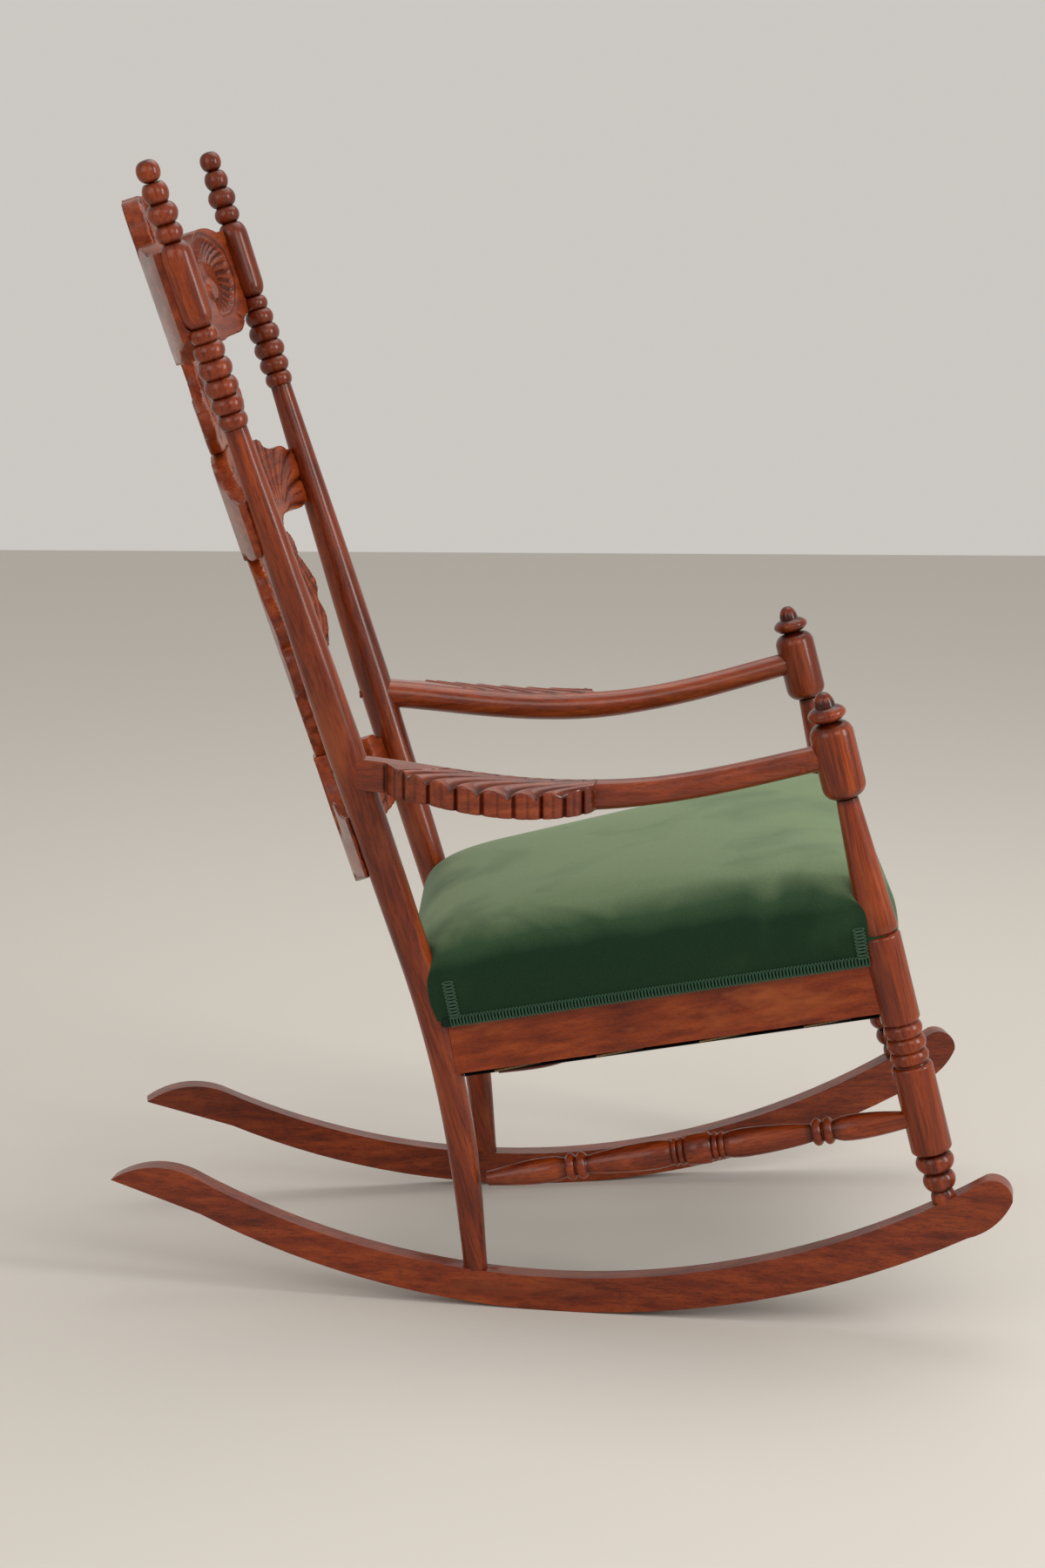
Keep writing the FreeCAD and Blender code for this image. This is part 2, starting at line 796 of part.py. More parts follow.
# Outlines from the middle of the bottom edge to the middle of the top edge: shares of
# the half width and of the height; a row of four is an arc through its first point.
crest_outline_shares = [
    (0.000, 0.22), (0.22, 0.235, 0.400, 0.17), (0.450, 0.05, 0.600, 0.00), (0.750, 0.00),
    (0.830, 0.02, 0.880, 0.08), (1.030, 0.14), (1.030, 0.66), (0.890, 0.66),
    (0.780, 0.71, 0.640, 0.70), (0.500, 0.645, 0.390, 0.72), (0.370, 0.92, 0.240, 1.00),
    (0.140, 0.99, 0.100, 0.90), (0.050, 0.84, 0.000, 0.84),
]
middle_outline_shares = [
    (0.000, 0.00), (0.530, 0.00), (0.560, 0.06, 0.600, 0.09), (0.730, 0.10),
    (0.810, 0.06, 0.900, 0.07), (1.030, 0.12), (1.030, 0.62), (0.900, 0.66),
    (0.850, 0.72, 0.790, 0.73), (0.700, 0.75, 0.620, 0.81), (0.590, 0.88, 0.545, 0.90),
    (0.440, 0.86, 0.330, 0.93), (0.180, 0.99, 0.000, 1.00),
]
lower_outline_shares = [
    (0.000, 0.00), (0.420, 0.00), (0.500, 0.05, 0.585, 0.12), (0.790, 0.14),
    (1.030, 0.20), (1.030, 0.67), (0.880, 0.67), (0.840, 0.74), (0.750, 0.74),
    (0.755, 0.60), (0.660, 0.44, 0.520, 0.52), (0.400, 0.68, 0.370, 1.00), (0.000, 1.00),
]
lower_splat_shares = [
    (0.000, 0.00), (0.430, 0.00), (0.500, 0.05, 0.560, 0.13), (0.610, 0.155, 0.640, 0.22),
    (0.690, 0.23, 0.707, 0.27), (0.707, 0.33), (0.830, 0.35, 0.935, 0.43),
    (0.975, 0.51, 0.920, 0.586), (0.980, 0.62, 0.995, 0.69), (0.930, 0.76, 0.855, 0.83),
    (0.860, 0.90, 0.824, 0.945), (0.720, 0.985, 0.620, 1.00), (0.000, 1.00),
]
upper_splat_shares = [
    (0.000, 0.00), (0.420, 0.00), (0.640, 0.06, 0.800, 0.17), (0.985, 0.22, 0.985, 0.36),
    (0.860, 0.395, 0.740, 0.45), (0.640, 0.365, 0.520, 0.43), (0.400, 0.56, 0.480, 0.78),
    (0.540, 0.90, 0.600, 1.10), (0.000, 1.10),
]
# Openings: centre across, centre up, width, height, slant in degrees
crest_hole_shares = [(0.225, 0.70, 0.17, 0.36, 14)]
upper_hole_shares = [(0.275, 0.42, 0.20, 0.46, -12), (0.640, 0.215, 0.26, 0.15, 24)]
lower_hole_shares = [(0.300, 0.62, 0.19, 0.42, -16)]
base_hole_shares = [(0.200, 0.50, 0.16, 0.44, 20)]


def pierced(board, hole_shares, half, base, tall):
    for across, up, wide, high, slant in hole_shares:
        for side in (-1, 1):
            board = board.cut(hole(side * across * half, base + up * tall,
                                   wide * half, high * tall, side * slant))
    return board


def back_board(outline_shares, setback, thickness, half, base, tall):
    slab = bowed_slab(setback, thickness, 0, back_length + overrun)
    return slab.common(panel(outline_shares, half, base, tall))


def back_rail_tenons(base, low_share, high_share, tall):
    """The thin tenon that carries on from a bowed rail into the left post."""
    low = base + low_share * tall + back_tenon_margin
    high = base + high_share * tall - back_tenon_margin
    setback = (splat_setback + cloth_gap) / 3
    slab = bowed_slab(setback, back_tenon_thickness, base - overrun, base + tall + overrun)
    inner = half_at(base) - overrun
    outer = half_at(base) + back_tenon_reach
    corners = [V(0, inner, low), V(0, outer, low), V(0, outer, high), V(0, inner, high)]
    face = Part.Face(Part.makePolygon(corners + corners[:1]))
    face.translate(V(-overrun * 4, 0, 0))
    return on_back(slab.common(face.extrude(V(overrun * 5, 0, 0))))


# Seat inside: webbing, springs, burlap, stuffing, cover and gimp
def seat_outline(inset, level, front_radius, rear_radius):
    """The seat's rounded outline, drawn in from the rails' outer faces by an inset."""
    out = side_out * (side_rail_outset + cushion_outset - inset)
    base = rear_corner + out
    back = rear_corner.x - cross_rail_thickness / 2 - cushion_outset + inset
    front = front_corner.x + cross_rail_thickness / 2 + cushion_outset - inset
    slope = side_way.y / side_way.x
    rear_half = base.y + (back - base.x) * slope
    front_half = base.y + (front - base.x) * slope
    corners = [V(back, -rear_half, level), V(front, -front_half, level),
               V(front, front_half, level), V(back, rear_half, level)]
    return rounded_wire(corners, [rear_radius, front_radius, front_radius, rear_radius])


# The cushion's sections: inset from the rail faces and height, as shares
cushion_section_shares = [
    (-0.010, 0.00), (-0.028, 0.34), (-0.018, 0.58), (0.030, 0.76), (0.120, 0.88),
    (0.300, 0.96), (0.620, 1.00),
]
cushion_round_share = 0.12


def dome(shrink, base):
    """The crowned cushion, or the same form drawn in all round by a distance."""
    reach = front_corner.y - side_rail_thickness * 2
    tall = cushion_crown - cushion_base
    wires = []
    for inset_share, up_share in cushion_section_shares:
        inset = inset_share * reach + shrink
        level = cushion_base + up_share * tall - shrink
        if up_share == 0:
            level = base
        rounding = max(0, inset) * cushion_round_share
        front_radius = cushion_front_corner + rounding
        rear_radius = cushion_rear_corner + rounding
        wires.append(seat_outline(inset, level, front_radius, rear_radius))
    return Part.makeLoft(wires, True, True)


def burlap_form(shrink):
    """The low table that the springs hold up, with its sides sloping to the rails."""
    rim = seat_outline(side_rail_outset + shrink, rail_height + cloth_gap,
                       cushion_front_corner, cushion_rear_corner)
    table = seat_outline(side_rail_thickness + burlap_slope_run + shrink,
                         rail_height + burlap_rise - shrink,
                         cushion_front_corner, cushion_rear_corner)
    return Part.makeLoft([rim, table], True, True)


seat_rear = rear_corner.x
seat_front = front_corner.x
seat_middle = (seat_rear + seat_front) / 2
seat_run = seat_front - seat_rear


def half_width_at(forward):
    share = (forward - rear_corner.x) / (front_corner.x - rear_corner.x)
    return rear_corner.y + (front_corner.y - rear_corner.y) * share


def sag_at(forward, across, depth):
    lengthwise = 1 - ((forward - seat_middle) / (seat_run / 2)) ** 2
    crosswise = 1 - (across / half_width_at(forward)) ** 2
    return -depth * lengthwise * crosswise


def band_between(start, end, dip, thickness, width_way):
    """A strap from start to end that hangs in an arc, with its thickness below."""
    middle = (start + end) / 2 + V(0, 0, -dip)
    down = V(0, 0, -thickness)
    rows = [(start,), (middle, end), (end + down,), (middle + down, start + down)]
    face = Part.Face(closed_wire(rows))
    face.translate(width_way * -0.5)
    return face.extrude(width_way)


lengthwise_places_shares = [-0.58, -0.2, 0.2, 0.58]
crosswise_places_shares = [0.16, 0.39, 0.62, 0.85]
spring_place_shares = [(0.20, -0.5), (0.20, 0.5), (0.50, 0.0), (0.75, -0.5), (0.75, 0.5)]


def lengthwise_webbing():
    straps = []
    for share in lengthwise_places_shares:
        across = share * rear_corner.y
        dip = -sag_at(seat_middle, across, webbing_sag)
        start = V(seat_rear - webbing_rail_lap / 2, across, -webbing_gap)
        end = V(seat_front + webbing_rail_lap / 2, across, -webbing_gap)
        straps.append(band_between(start, end, dip, webbing_thickness,
                                   V(0, webbing_width, 0)))
    return straps


def crosswise_webbing():
    straps = []
    below = webbing_thickness + webbing_gap * 3
    for share in crosswise_places_shares:
        forward = seat_rear + share * seat_run
        half = half_width_at(forward)
        dip = -sag_at(forward, 0, webbing_sag)
        start = V(forward, -half, -below)
        end = V(forward, half, -below)
        straps.append(band_between(start, end, dip, webbing_thickness,
                                   V(webbing_width, 0, 0)))
    return straps


def dust_cover():
    """Black cloth under the webbing, hanging in a shallow bowl."""
    below = webbing_thickness * 2 + webbing_gap * 3 + dust_cover_gap
    sections = []
    for share in (0.0, 0.2, 0.4, 0.6, 0.8, 1.0):
        forward = seat_rear + share * seat_run
        half = half_width_at(forward)
        dip = -sag_at(forward, 0, dust_cover_sag) + dust_cover_thickness
        start = V(forward, -half, -below)
        end = V(forward, half, -below)
        middle = V(forward, 0, -below - dip)
        down = V(0, 0, -dust_cover_thickness)
        sections.append(closed_wire([(start,), (middle, end), (end + down,),
                                     (middle + down, start + down)]))
    return Part.makeLoft(sections, True, True)


def coil_radius(share):
    waist = 1 - (2 * share - 1) ** 2
    return spring_radius + (spring_waist_radius - spring_radius) * waist


def coil_place(share, low, high):
    angle = 2 * math.pi * spring_turns * share
    radius = coil_radius(share)
    return V(radius * math.cos(angle), radius * math.sin(angle), low + (high - low) * share)


def spring(forward, across):
    """One waisted coil spring wound from wire, from the webbing to the burlap."""
    low = sag_at(forward, across, webbing_sag) + spring_wire_radius + cloth_gap
    high = rail_height + burlap_rise - burlap_thickness - spring_wire_radius - cloth_gap
    count = spring_turns * steps_in_turn
    sections = []
    for index in range(count + 1):
        share = index / count
        centre = coil_place(share, low, high)
        out = V(centre.x, centre.y, 0).normalize() * spring_wire_radius
        up = V(0, 0, spring_wire_radius)
        corners = [centre + out + up, centre - out + up, centre - out - up, centre + out - up]
        sections.append(Part.makePolygon(corners + corners[:1]))
    form = Part.makeLoft(sections, True, True)
    form.translate(V(forward, across, 0))
    return form


def springs():
    forms = []
    for forward_share, across_share in spring_place_shares:
        forward = seat_rear + forward_share * seat_run
        forms.append(spring(forward, across_share * rear_corner.y))
    return forms


def gimp_strips():
    """Flat braid round the foot of the cover, turned up beside each post."""
    low = cushion_base - gimp_thickness / 2
    high = low + gimp_width
    outer = seat_outline(-(cushion_outset + cloth_gap + gimp_thickness), low,
                         cushion_front_corner, cushion_rear_corner)
    inner = seat_outline(-(cushion_outset + cloth_gap), low, cushion_front_corner,
                         cushion_rear_corner)
    ring = Part.Face(outer).extrude(V(0, 0, high - low))
    return ring.cut(Part.Face(inner).extrude(V(0, 0, high - low)))


# Assembly: every piece in place, then each joint cut from the piece that receives it
def save(name, shapes):
    solids = []
    for shape in shapes:
        solids.extend(shape.Solids)
    body = solids[0] if len(solids) == 1 else Part.makeCompound(solids)
    body.exportStep("parts/" + name + ".step")
    volume = sum(solid.Volume for solid in solids)
    print(name, len(solids), "solids", round(volume), "mm3", "valid", body.isValid())


os.makedirs("parts", exist_ok=True)

rear_blank = rear_post_blank()
front_blank = front_post_blank()
rocker_wide = rocker_board(1, rocker_thickness + overrun * 2)
rocker = rocker_board(1, rocker_thickness)
below_rear = rod(rear_foot, rear_foot - V(0, 0, overrun), rear_foot_radius * 2)
rear_blank = biggest(rear_blank.cut(rocker_wide))
front_blank = biggest(front_blank.cut(rocker_wide))

# Leg tenons into the rockers
rear_way = unit(post_bend, rear_foot)
front_way = unit(front_top, front_foot)
rear_tenon = rod(rear_foot - rear_way * leg_tenon_length, rear_foot, leg_tenon_radius)
front_tenon = rod(front_foot - front_way * leg_tenon_radius,
                  front_foot + front_way * (leg_tenon_length - leg_tenon_radius),
                  leg_tenon_radius)
rear_tenon = rear_tenon.common(rocker)
front_tenon = front_tenon.common(rocker)
rocker = rocker.cut(rear_tenon).cut(front_tenon)

side_stretcher = side_stretcher_piece()
front_stretcher = cross_stretcher(
    on_line(front_top, front_foot, front_stretcher_height),
    front_post_radius - stretcher_socket)
rear_stretcher = cross_stretcher(rear_axis_at(rear_stretcher_height),
                                 rear_foot_radius - stretcher_socket / 3)

# Seat rails: the posts get their sockets first, then each rail is cut by the posts
rail_tenons = [on_seat(block) for block in side_rail_tenons()]
rear_rail_tenon = on_seat(cross_rail_tenon(rear_corner, 1))
front_rail_tenon = on_seat(cross_rail_tenon(front_corner, 1))
rear_post = biggest(rear_blank.cut([rail_tenons[0], rear_rail_tenon, side_stretcher,
                                    rear_stretcher]))
front_post = biggest(front_blank.cut([rail_tenons[1], front_rail_tenon, side_stretcher,
                                      front_stretcher]))
side_rail = biggest(on_seat(side_rail_blank()).cut([rear_post, front_post]))
rear_rail = on_seat(cross_rail_blank(rear_corner, cross_rail_thickness))
rear_rail = biggest(rear_rail.cut([rear_post, mirrored(rear_post)]))
front_rail = on_seat(cross_rail_blank(front_corner, cross_rail_thickness))
front_rail = biggest(front_rail.cut([front_post, mirrored(front_post)]))
rear_rail = rear_rail.cut([side_rail, mirrored(side_rail)])
front_rail = front_rail.cut([side_rail, mirrored(side_rail)])

# Arms
arm = biggest(arm_blank().cut(rear_blank).cut(front_blank))
arm_tenon = arm_front_tenon()
arm = arm.fuse(arm_tenon).removeSplitter()
peg = arm_peg()
plug = arm_plug()
screw = arm_screw()
arm = arm.cut([peg, plug, screw])

# Back rails and splats
crest_half = half_at(crest_base + crest_height / 2)
middle_half = half_at(middle_base + middle_height / 2)
lower_half = half_at(lower_base + lower_height / 2)
crest = back_board(crest_outline_shares, 0, back_rail_thickness, crest_half, crest_base,
                   crest_height)
middle = back_board(middle_outline_shares, 0, back_rail_thickness, middle_half,
                    middle_base, middle_height)
lower = back_board(lower_outline_shares, 0, back_rail_thickness, lower_half, lower_base,
                   lower_height)
splat_base = lower_base + lower_height
splat_tall = middle_base - splat_base
fret_base = middle_base + middle_height
fret_tall = crest_base + crest_height * crest_outline_shares[0][1] - fret_base
lower_splat = back_board(lower_splat_shares, splat_setback, splat_thickness,
                         lower_splat_half, splat_base, splat_tall)
upper_splat = back_board(upper_splat_shares, splat_setback, splat_thickness,
                         upper_splat_half, fret_base, fret_tall)
upper_splat = biggest(upper_splat.cut(crest))
upper_splat = biggest(upper_splat.cut(middle))
crest = pierced(crest, crest_hole_shares, crest_half, crest_base, crest_height)
lower = pierced(lower, base_hole_shares, lower_half, lower_base, lower_height)
lower_splat = pierced(lower_splat, lower_hole_shares, lower_splat_half, splat_base,
                      splat_tall)
upper_splat = pierced(upper_splat, upper_hole_shares, upper_splat_half, fret_base,
                      fret_tall)

back_rails = {}
for name, board, base, tall, low_share, high_share in (
        ("crest_rail", crest, crest_base, crest_height, 0.14, 0.66),
        ("middle_rail", middle, middle_base, middle_height, 0.12, 0.62),
        ("lower_rail", lower, lower_base, lower_height, 0.20, 0.67)):
    socket = back_rail_tenons(base, low_share, high_share, tall)
    rear_post = rear_post.cut(socket)
    sides = [rear_post, mirrored(rear_post)]
    back_rails[name] = biggest(on_back(board).cut(sides))

# Posts, with the arms' sockets and their own foot tenons
rear_post = biggest(rear_post.cut(peg)).fuse(rear_tenon).removeSplitter()
front_post = biggest(front_post.cut([arm_tenon, screw])).fuse(front_tenon).removeSplitter()

# Corner blocks and their screws
blocks = []
block_screws = []
for corner, inward, post in ((rear_corner, 1, rear_blank), (front_corner, -1, front_blank)):
    block = on_seat(corner_block(corner, inward))
    rails = [side_rail, rear_rail if inward > 0 else front_rail, post]
    block = biggest(block.cut(rails))
    screws = [on_seat(part) for part in corner_screws(corner, inward)]
    block = block.cut(screws)
    side_rail = side_rail.cut(screws)
    if inward > 0:
        rear_rail = rear_rail.cut(screws + [mirrored(part) for part in screws])
    else:
        front_rail = front_rail.cut(screws + [mirrored(part) for part in screws])
    blocks += [block, mirrored(block)]
    block_screws += screws + [mirrored(part) for part in screws]

# Cushion, with the posts' places cut from its corners
front_clear = rod(front_top, front_foot, front_post_radius * front_block_shares[2]
                  + post_clearance)
rear_clear = rear_shaft(post_clearance)
clears = [front_clear, rear_clear, mirrored(front_clear), mirrored(rear_clear)]
outer_dome = dome(0, cushion_base)
inner_dome = dome(cover_thickness, cushion_base - overrun)
pad_dome = dome(cover_thickness + cloth_gap, cushion_base - overrun)
cover = on_seat(outer_dome.cut(inner_dome)).cut(clears)
burlap = burlap_form(0).cut(burlap_form(burlap_thickness))
pad_floor = prism([V(seat_rear - overrun, -height, 0), V(seat_front + overrun, -height, 0),
                   V(seat_front + overrun, height, 0), V(seat_rear - overrun, height, 0)],
                  -overrun, rail_height + cloth_gap * 3)
pad = pad_dome.cut(pad_floor).cut(burlap_form(-cloth_gap))
pad = on_seat(pad).cut(clears)
burlap = on_seat(burlap).cut(clears)
gimp = on_seat(gimp_strips()).cut(clears)

for side in (-1, 1):
    name = side_names[side]
    turn = (lambda shape: shape) if side > 0 else mirrored
    save("rocker_" + name, [turn(rocker)])
    save("rear_post_" + name, [turn(rear_post)])
    save("front_post_" + name, [turn(front_post)])
    save("side_stretcher_" + name, [turn(side_stretcher)])
    save("side_rail_" + name, [turn(side_rail)])
    save("arm_" + name, [turn(arm)])
save("front_stretcher", [front_stretcher])
save("rear_stretcher", [rear_stretcher])
save("rear_rail", [rear_rail])
save("front_rail", [front_rail])
save("corner_blocks", blocks)
save("corner_screws", block_screws)
save("arm_pegs", [peg, mirrored(peg)])
save("arm_plugs", [plug, mirrored(plug)])
save("arm_screws", [screw, mirrored(screw)])
for name, rail in back_rails.items():
    save(name, [rail])
save("lower_splat", [on_back(lower_splat)])
save("upper_splat", [on_back(upper_splat)])
save("webbing_lengthwise", [on_seat(strap) for strap in lengthwise_webbing()])
save("webbing_crosswise", [on_seat(strap) for strap in crosswise_webbing()])
save("dust_cover", [on_seat(dust_cover()).cut(clears)])
save("seat_springs", [on_seat(form) for form in springs()])
save("spring_burlap", [burlap])
save("seat_stuffing", [pad])
save("seat_cover", [cover])
save("seat_gimp", [gimp])
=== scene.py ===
import math

import bmesh
import bpy
import numpy as np
from mathutils import Matrix, Vector


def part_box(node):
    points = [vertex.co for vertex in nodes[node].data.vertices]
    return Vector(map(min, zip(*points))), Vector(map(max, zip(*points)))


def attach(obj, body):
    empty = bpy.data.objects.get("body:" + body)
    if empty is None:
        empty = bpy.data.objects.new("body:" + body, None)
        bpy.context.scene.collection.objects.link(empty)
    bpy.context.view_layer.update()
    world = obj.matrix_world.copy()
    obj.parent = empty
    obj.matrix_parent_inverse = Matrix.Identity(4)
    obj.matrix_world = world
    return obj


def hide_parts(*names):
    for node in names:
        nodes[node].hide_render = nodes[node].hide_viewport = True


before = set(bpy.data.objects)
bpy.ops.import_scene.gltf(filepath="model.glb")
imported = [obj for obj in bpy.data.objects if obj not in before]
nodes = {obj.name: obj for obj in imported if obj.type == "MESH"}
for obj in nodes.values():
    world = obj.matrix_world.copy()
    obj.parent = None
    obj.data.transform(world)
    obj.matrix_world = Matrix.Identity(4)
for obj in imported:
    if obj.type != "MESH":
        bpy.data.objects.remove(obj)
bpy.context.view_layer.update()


# The rockers: two boards of oak sawn to an arc, toed in toward the tail. All the chair's
# wood is red oak under an old red-brown varnish, worn thin on the faces, with painted shade
# in its recesses. The grain runs along Z of the mapped coordinates.
def new_material(name):
    """A material with its shader and the calls that add and join its nodes."""
    material = bpy.data.materials.new(name)
    material.use_nodes = True
    tree = material.node_tree
    return material, tree.nodes["Principled BSDF"], tree.nodes.new, tree.links.new


def new_group(name, kind, inputs, outputs):
    """A node group with sockets of the names and kinds given, and its two end nodes."""
    tree = bpy.data.node_groups.new(name, kind)
    for way, sockets in (("INPUT", inputs), ("OUTPUT", outputs)):
        for socket, of_kind in sockets.items():
            tree.interface.new_socket(socket, in_out=way, socket_type="NodeSocket" + of_kind)
    return tree, tree.nodes.new("NodeGroupInput"), tree.nodes.new("NodeGroupOutput")


def preset(node, values):
    """Sets a node's inputs by their names."""
    for name, value in values.items():
        node.inputs[name].default_value = value


def noise(add, link, place, scale, detail, rough=0.5, distortion=0.0):
    """A cloudy value over the places given."""
    node = add("ShaderNodeTexNoise")
    preset(node, {"Scale": scale, "Detail": detail, "Roughness": rough,
                  "Distortion": distortion})
    link(place, node.inputs["Vector"])
    return node.outputs["Fac"]


def mixed(add, link, kind, share, first, second):
    """One colour laid over another by a share."""
    node = add("ShaderNodeMix")
    node.data_type = "RGBA"
    node.blend_type = kind
    if isinstance(share, float):
        node.inputs[0].default_value = share
    else:
        link(share, node.inputs[0])
    link(first, node.inputs[6])
    if isinstance(second, tuple):
        node.inputs[7].default_value = (*second, 1.0)
    else:
        link(second, node.inputs[7])
    return node.outputs[2]


def ramp(add, link, source, stops):
    """Turns a value into a colour by stops of place and colour."""
    node = add("ShaderNodeValToRGB")
    elements = node.color_ramp.elements
    while len(elements) < len(stops):
        elements.new(0.5)
    for element, (place, color) in zip(elements, stops):
        element.position = place
        element.color = (*color, 1.0)
    link(source, node.inputs["Fac"])
    return node.outputs["Color"]


def oak_figure_and_shade():
    tree, given, out = new_group(
        "Oak figure and shade", "ShaderNodeTree",
        {"Grain": "Vector", "Wear": "Float", "Figure": "Float", "Hollow shade": "Float"},
        {"Color": "Color", "Gloss": "Float", "Relief": "Float"})
    add = tree.nodes.new
    link = tree.links.new

    def stretched(scale, long_share, detail, rough):
        mapping = add("ShaderNodeMapping")
        mapping.inputs["Scale"].default_value = (scale, scale, scale * long_share)
        link(given.outputs["Grain"], mapping.inputs["Vector"])
        return noise(add, link, mapping.outputs["Vector"], 1.0, detail, rough)

    bands = ramp(add, link, stretched(90.0, 0.06, 3.0, 0.55), [
        (0.30, (0.125, 0.016, 0.003)), (0.48, (0.205, 0.029, 0.005)),
        (0.62, (0.270, 0.044, 0.007)), (0.80, (0.330, 0.064, 0.011))])
    patches = ramp(add, link, stretched(11.0, 0.35, 2.0, 0.5), [
        (0.36, (0.66, 0.60, 0.60)), (0.55, (1.0, 1.0, 1.0)), (0.72, (1.20, 1.12, 1.0))])
    streaks = ramp(add, link, stretched(420.0, 0.030, 2.0, 0.6), [
        (0.36, (0.60, 0.54, 0.54)), (0.50, (1.0, 1.0, 1.0)), (0.70, (1.08, 1.06, 1.02))])
    pores = ramp(add, link, stretched(1500.0, 0.020, 1.0, 0.5), [
        (0.36, (0.42, 0.36, 0.36)), (0.44, (1.0, 1.0, 1.0))])
    worn = add("ShaderNodeMath")
    worn.operation = "MULTIPLY"
    rubbed = ramp(add, link, stretched(16.0, 0.35, 4.0, 0.7), [
        (0.55, (0, 0, 0)), (0.70, (1, 1, 1))])
    link(rubbed, worn.inputs[0])
    link(given.outputs["Wear"], worn.inputs[1])
    color = mixed(add, link, "MULTIPLY", given.outputs["Figure"], bands, patches)
    color = mixed(add, link, "MULTIPLY", given.outputs["Figure"], color, streaks)
    color = mixed(add, link, "MULTIPLY", 0.55, color, pores)
    color = mixed(add, link, "MIX", worn.outputs[0], color, (0.310, 0.068, 0.015))
    # Painted shade: the share kept on each point darkens the colour in grooves and recesses.
    hollow_shade = add("ShaderNodeAttribute")
    hollow_shade.attribute_name = "hollow_shade"
    shaded = ramp(add, link, hollow_shade.outputs["Fac"], [
        (0.0, (1.0, 1.0, 1.0)), (0.45, (0.60, 0.55, 0.55)), (1.0, (0.16, 0.12, 0.11))])
    color = mixed(add, link, "MULTIPLY", given.outputs["Hollow shade"], color, shaded)
    link(color, out.inputs["Color"])
    gloss = add("ShaderNodeMapRange")
    preset(gloss, {"From Min": 0.35, "From Max": 0.70, "To Min": 0.24, "To Max": 0.40})
    link(stretched(24.0, 0.4, 3.0, 0.6), gloss.inputs["Value"])
    link(gloss.outputs["Result"], out.inputs["Gloss"])
    link(stretched(900.0, 0.03, 2.0, 0.6), out.inputs["Relief"])
    return tree


oak_tree = oak_figure_and_shade()


def varnished_oak(name, turn, wear=0.5, figure=0.8, hollow_shade=0.9, coat=0.30, shift=0.0):
    """Oak with its grain along the local Z that the turn, in degrees, brings upright."""
    material, shader, add, link = new_material(name)
    place = add("ShaderNodeTexCoord")
    mapping = add("ShaderNodeMapping")
    preset(mapping, {"Rotation": [math.radians(angle) for angle in turn],
                     "Location": (shift, shift * 0.7, shift * 1.3)})
    figure_node = add("ShaderNodeGroup")
    figure_node.node_tree = oak_tree
    # The strength given here sets how much painted shade darkens the grooves.
    preset(figure_node, {"Wear": wear, "Figure": figure, "Hollow shade": hollow_shade})
    bump = add("ShaderNodeBump")
    preset(bump, {"Strength": 0.12, "Distance": 0.0004})
    link(place.outputs["Object"], mapping.inputs["Vector"])
    link(mapping.outputs["Vector"], figure_node.inputs["Grain"])
    link(figure_node.outputs["Color"], shader.inputs["Base Color"])
    link(figure_node.outputs["Gloss"], shader.inputs["Roughness"])
    link(figure_node.outputs["Relief"], bump.inputs["Height"])
    link(bump.outputs["Normal"], shader.inputs["Normal"])
    preset(shader, {"Specular IOR Level": 0.22, "Coat Weight": coat, "Coat Roughness": 0.14})
    return material


def dress(piece, material):
    """Gives a piece its one material."""
    piece.data.materials.clear()
    piece.data.materials.append(material)


def in_scene(name, data):
    """An object in the scene that shows a mesh, a lamp or a camera."""
    thing = bpy.data.objects.new(name, data)
    bpy.context.scene.collection.objects.link(thing)
    return thing


def own_piece(name, mesh, material, slot, *stands_for):
    """A new piece that rides on the chair in place of its plain solids."""
    piece = in_scene(name, mesh)
    dress(piece, material)
    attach(piece, "root")
    if stands_for:
        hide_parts(*stands_for)
    return piece


def merged_copy(node_name):
    """The solid's own faces as one closed mesh."""
    mesh = nodes[node_name].data.copy()
    work = bmesh.new()
    work.from_mesh(mesh)
    bmesh.ops.remove_doubles(work, verts=work.verts, dist=1e-5)
    work.to_mesh(mesh)
    work.free()
    return mesh


def eased(node_name, material, slot, width):
    """A board with its sharp edges softened, as planed and sanded wood has them."""
    mesh = merged_copy(node_name)
    piece = own_piece(node_name + "_wood", mesh, material, slot, node_name)
    work = bmesh.new()
    work.from_mesh(mesh)
    bmesh.ops.dissolve_limit(work, angle_limit=0.01, verts=work.verts, edges=work.edges)
    work.to_mesh(mesh)
    work.free()
    bevel = piece.modifiers.new("Eased edges", "BEVEL")
    bevel.width = width
    bevel.segments = 2
    bevel.limit_method = "ANGLE"
    bevel.angle_limit = math.radians(35)
    mesh.shade_smooth()
    mesh.set_sharp_from_angle(angle=math.radians(32))
    return piece


rocker_oak = varnished_oak("Rocker oak", (0, 90, 0), wear=0.35, hollow_shade=0.6)
for side in ("right", "left"):
    eased("rocker_" + side, rocker_oak, "oak", 0.0022)


# The rear posts: one turned piece each, bent below the seat, with a ball, three beads, a
# rounded barrel and six more beads above a long swelled shaft.
post_top = np.array([-0.411, 0.287, 1.221])
post_bend = np.array([-0.1026, 0.2015, 0.246])
rear_foot = np.array([-0.082, 0.206, 0.024])
bend_run = 0.150


def beads(start, length, radius, shares, rows):
    """Adds a stack of beads: start, end, peak and groove as shares."""
    for low, high, peak, groove in shares:
        for t in np.linspace(0.0, 1.0, 13):
            swell = math.sin(math.pi * t) ** 0.66
            rows.append((start + (low + (high - low) * t) * length,
                         radius * (groove + (peak - groove) * swell)))


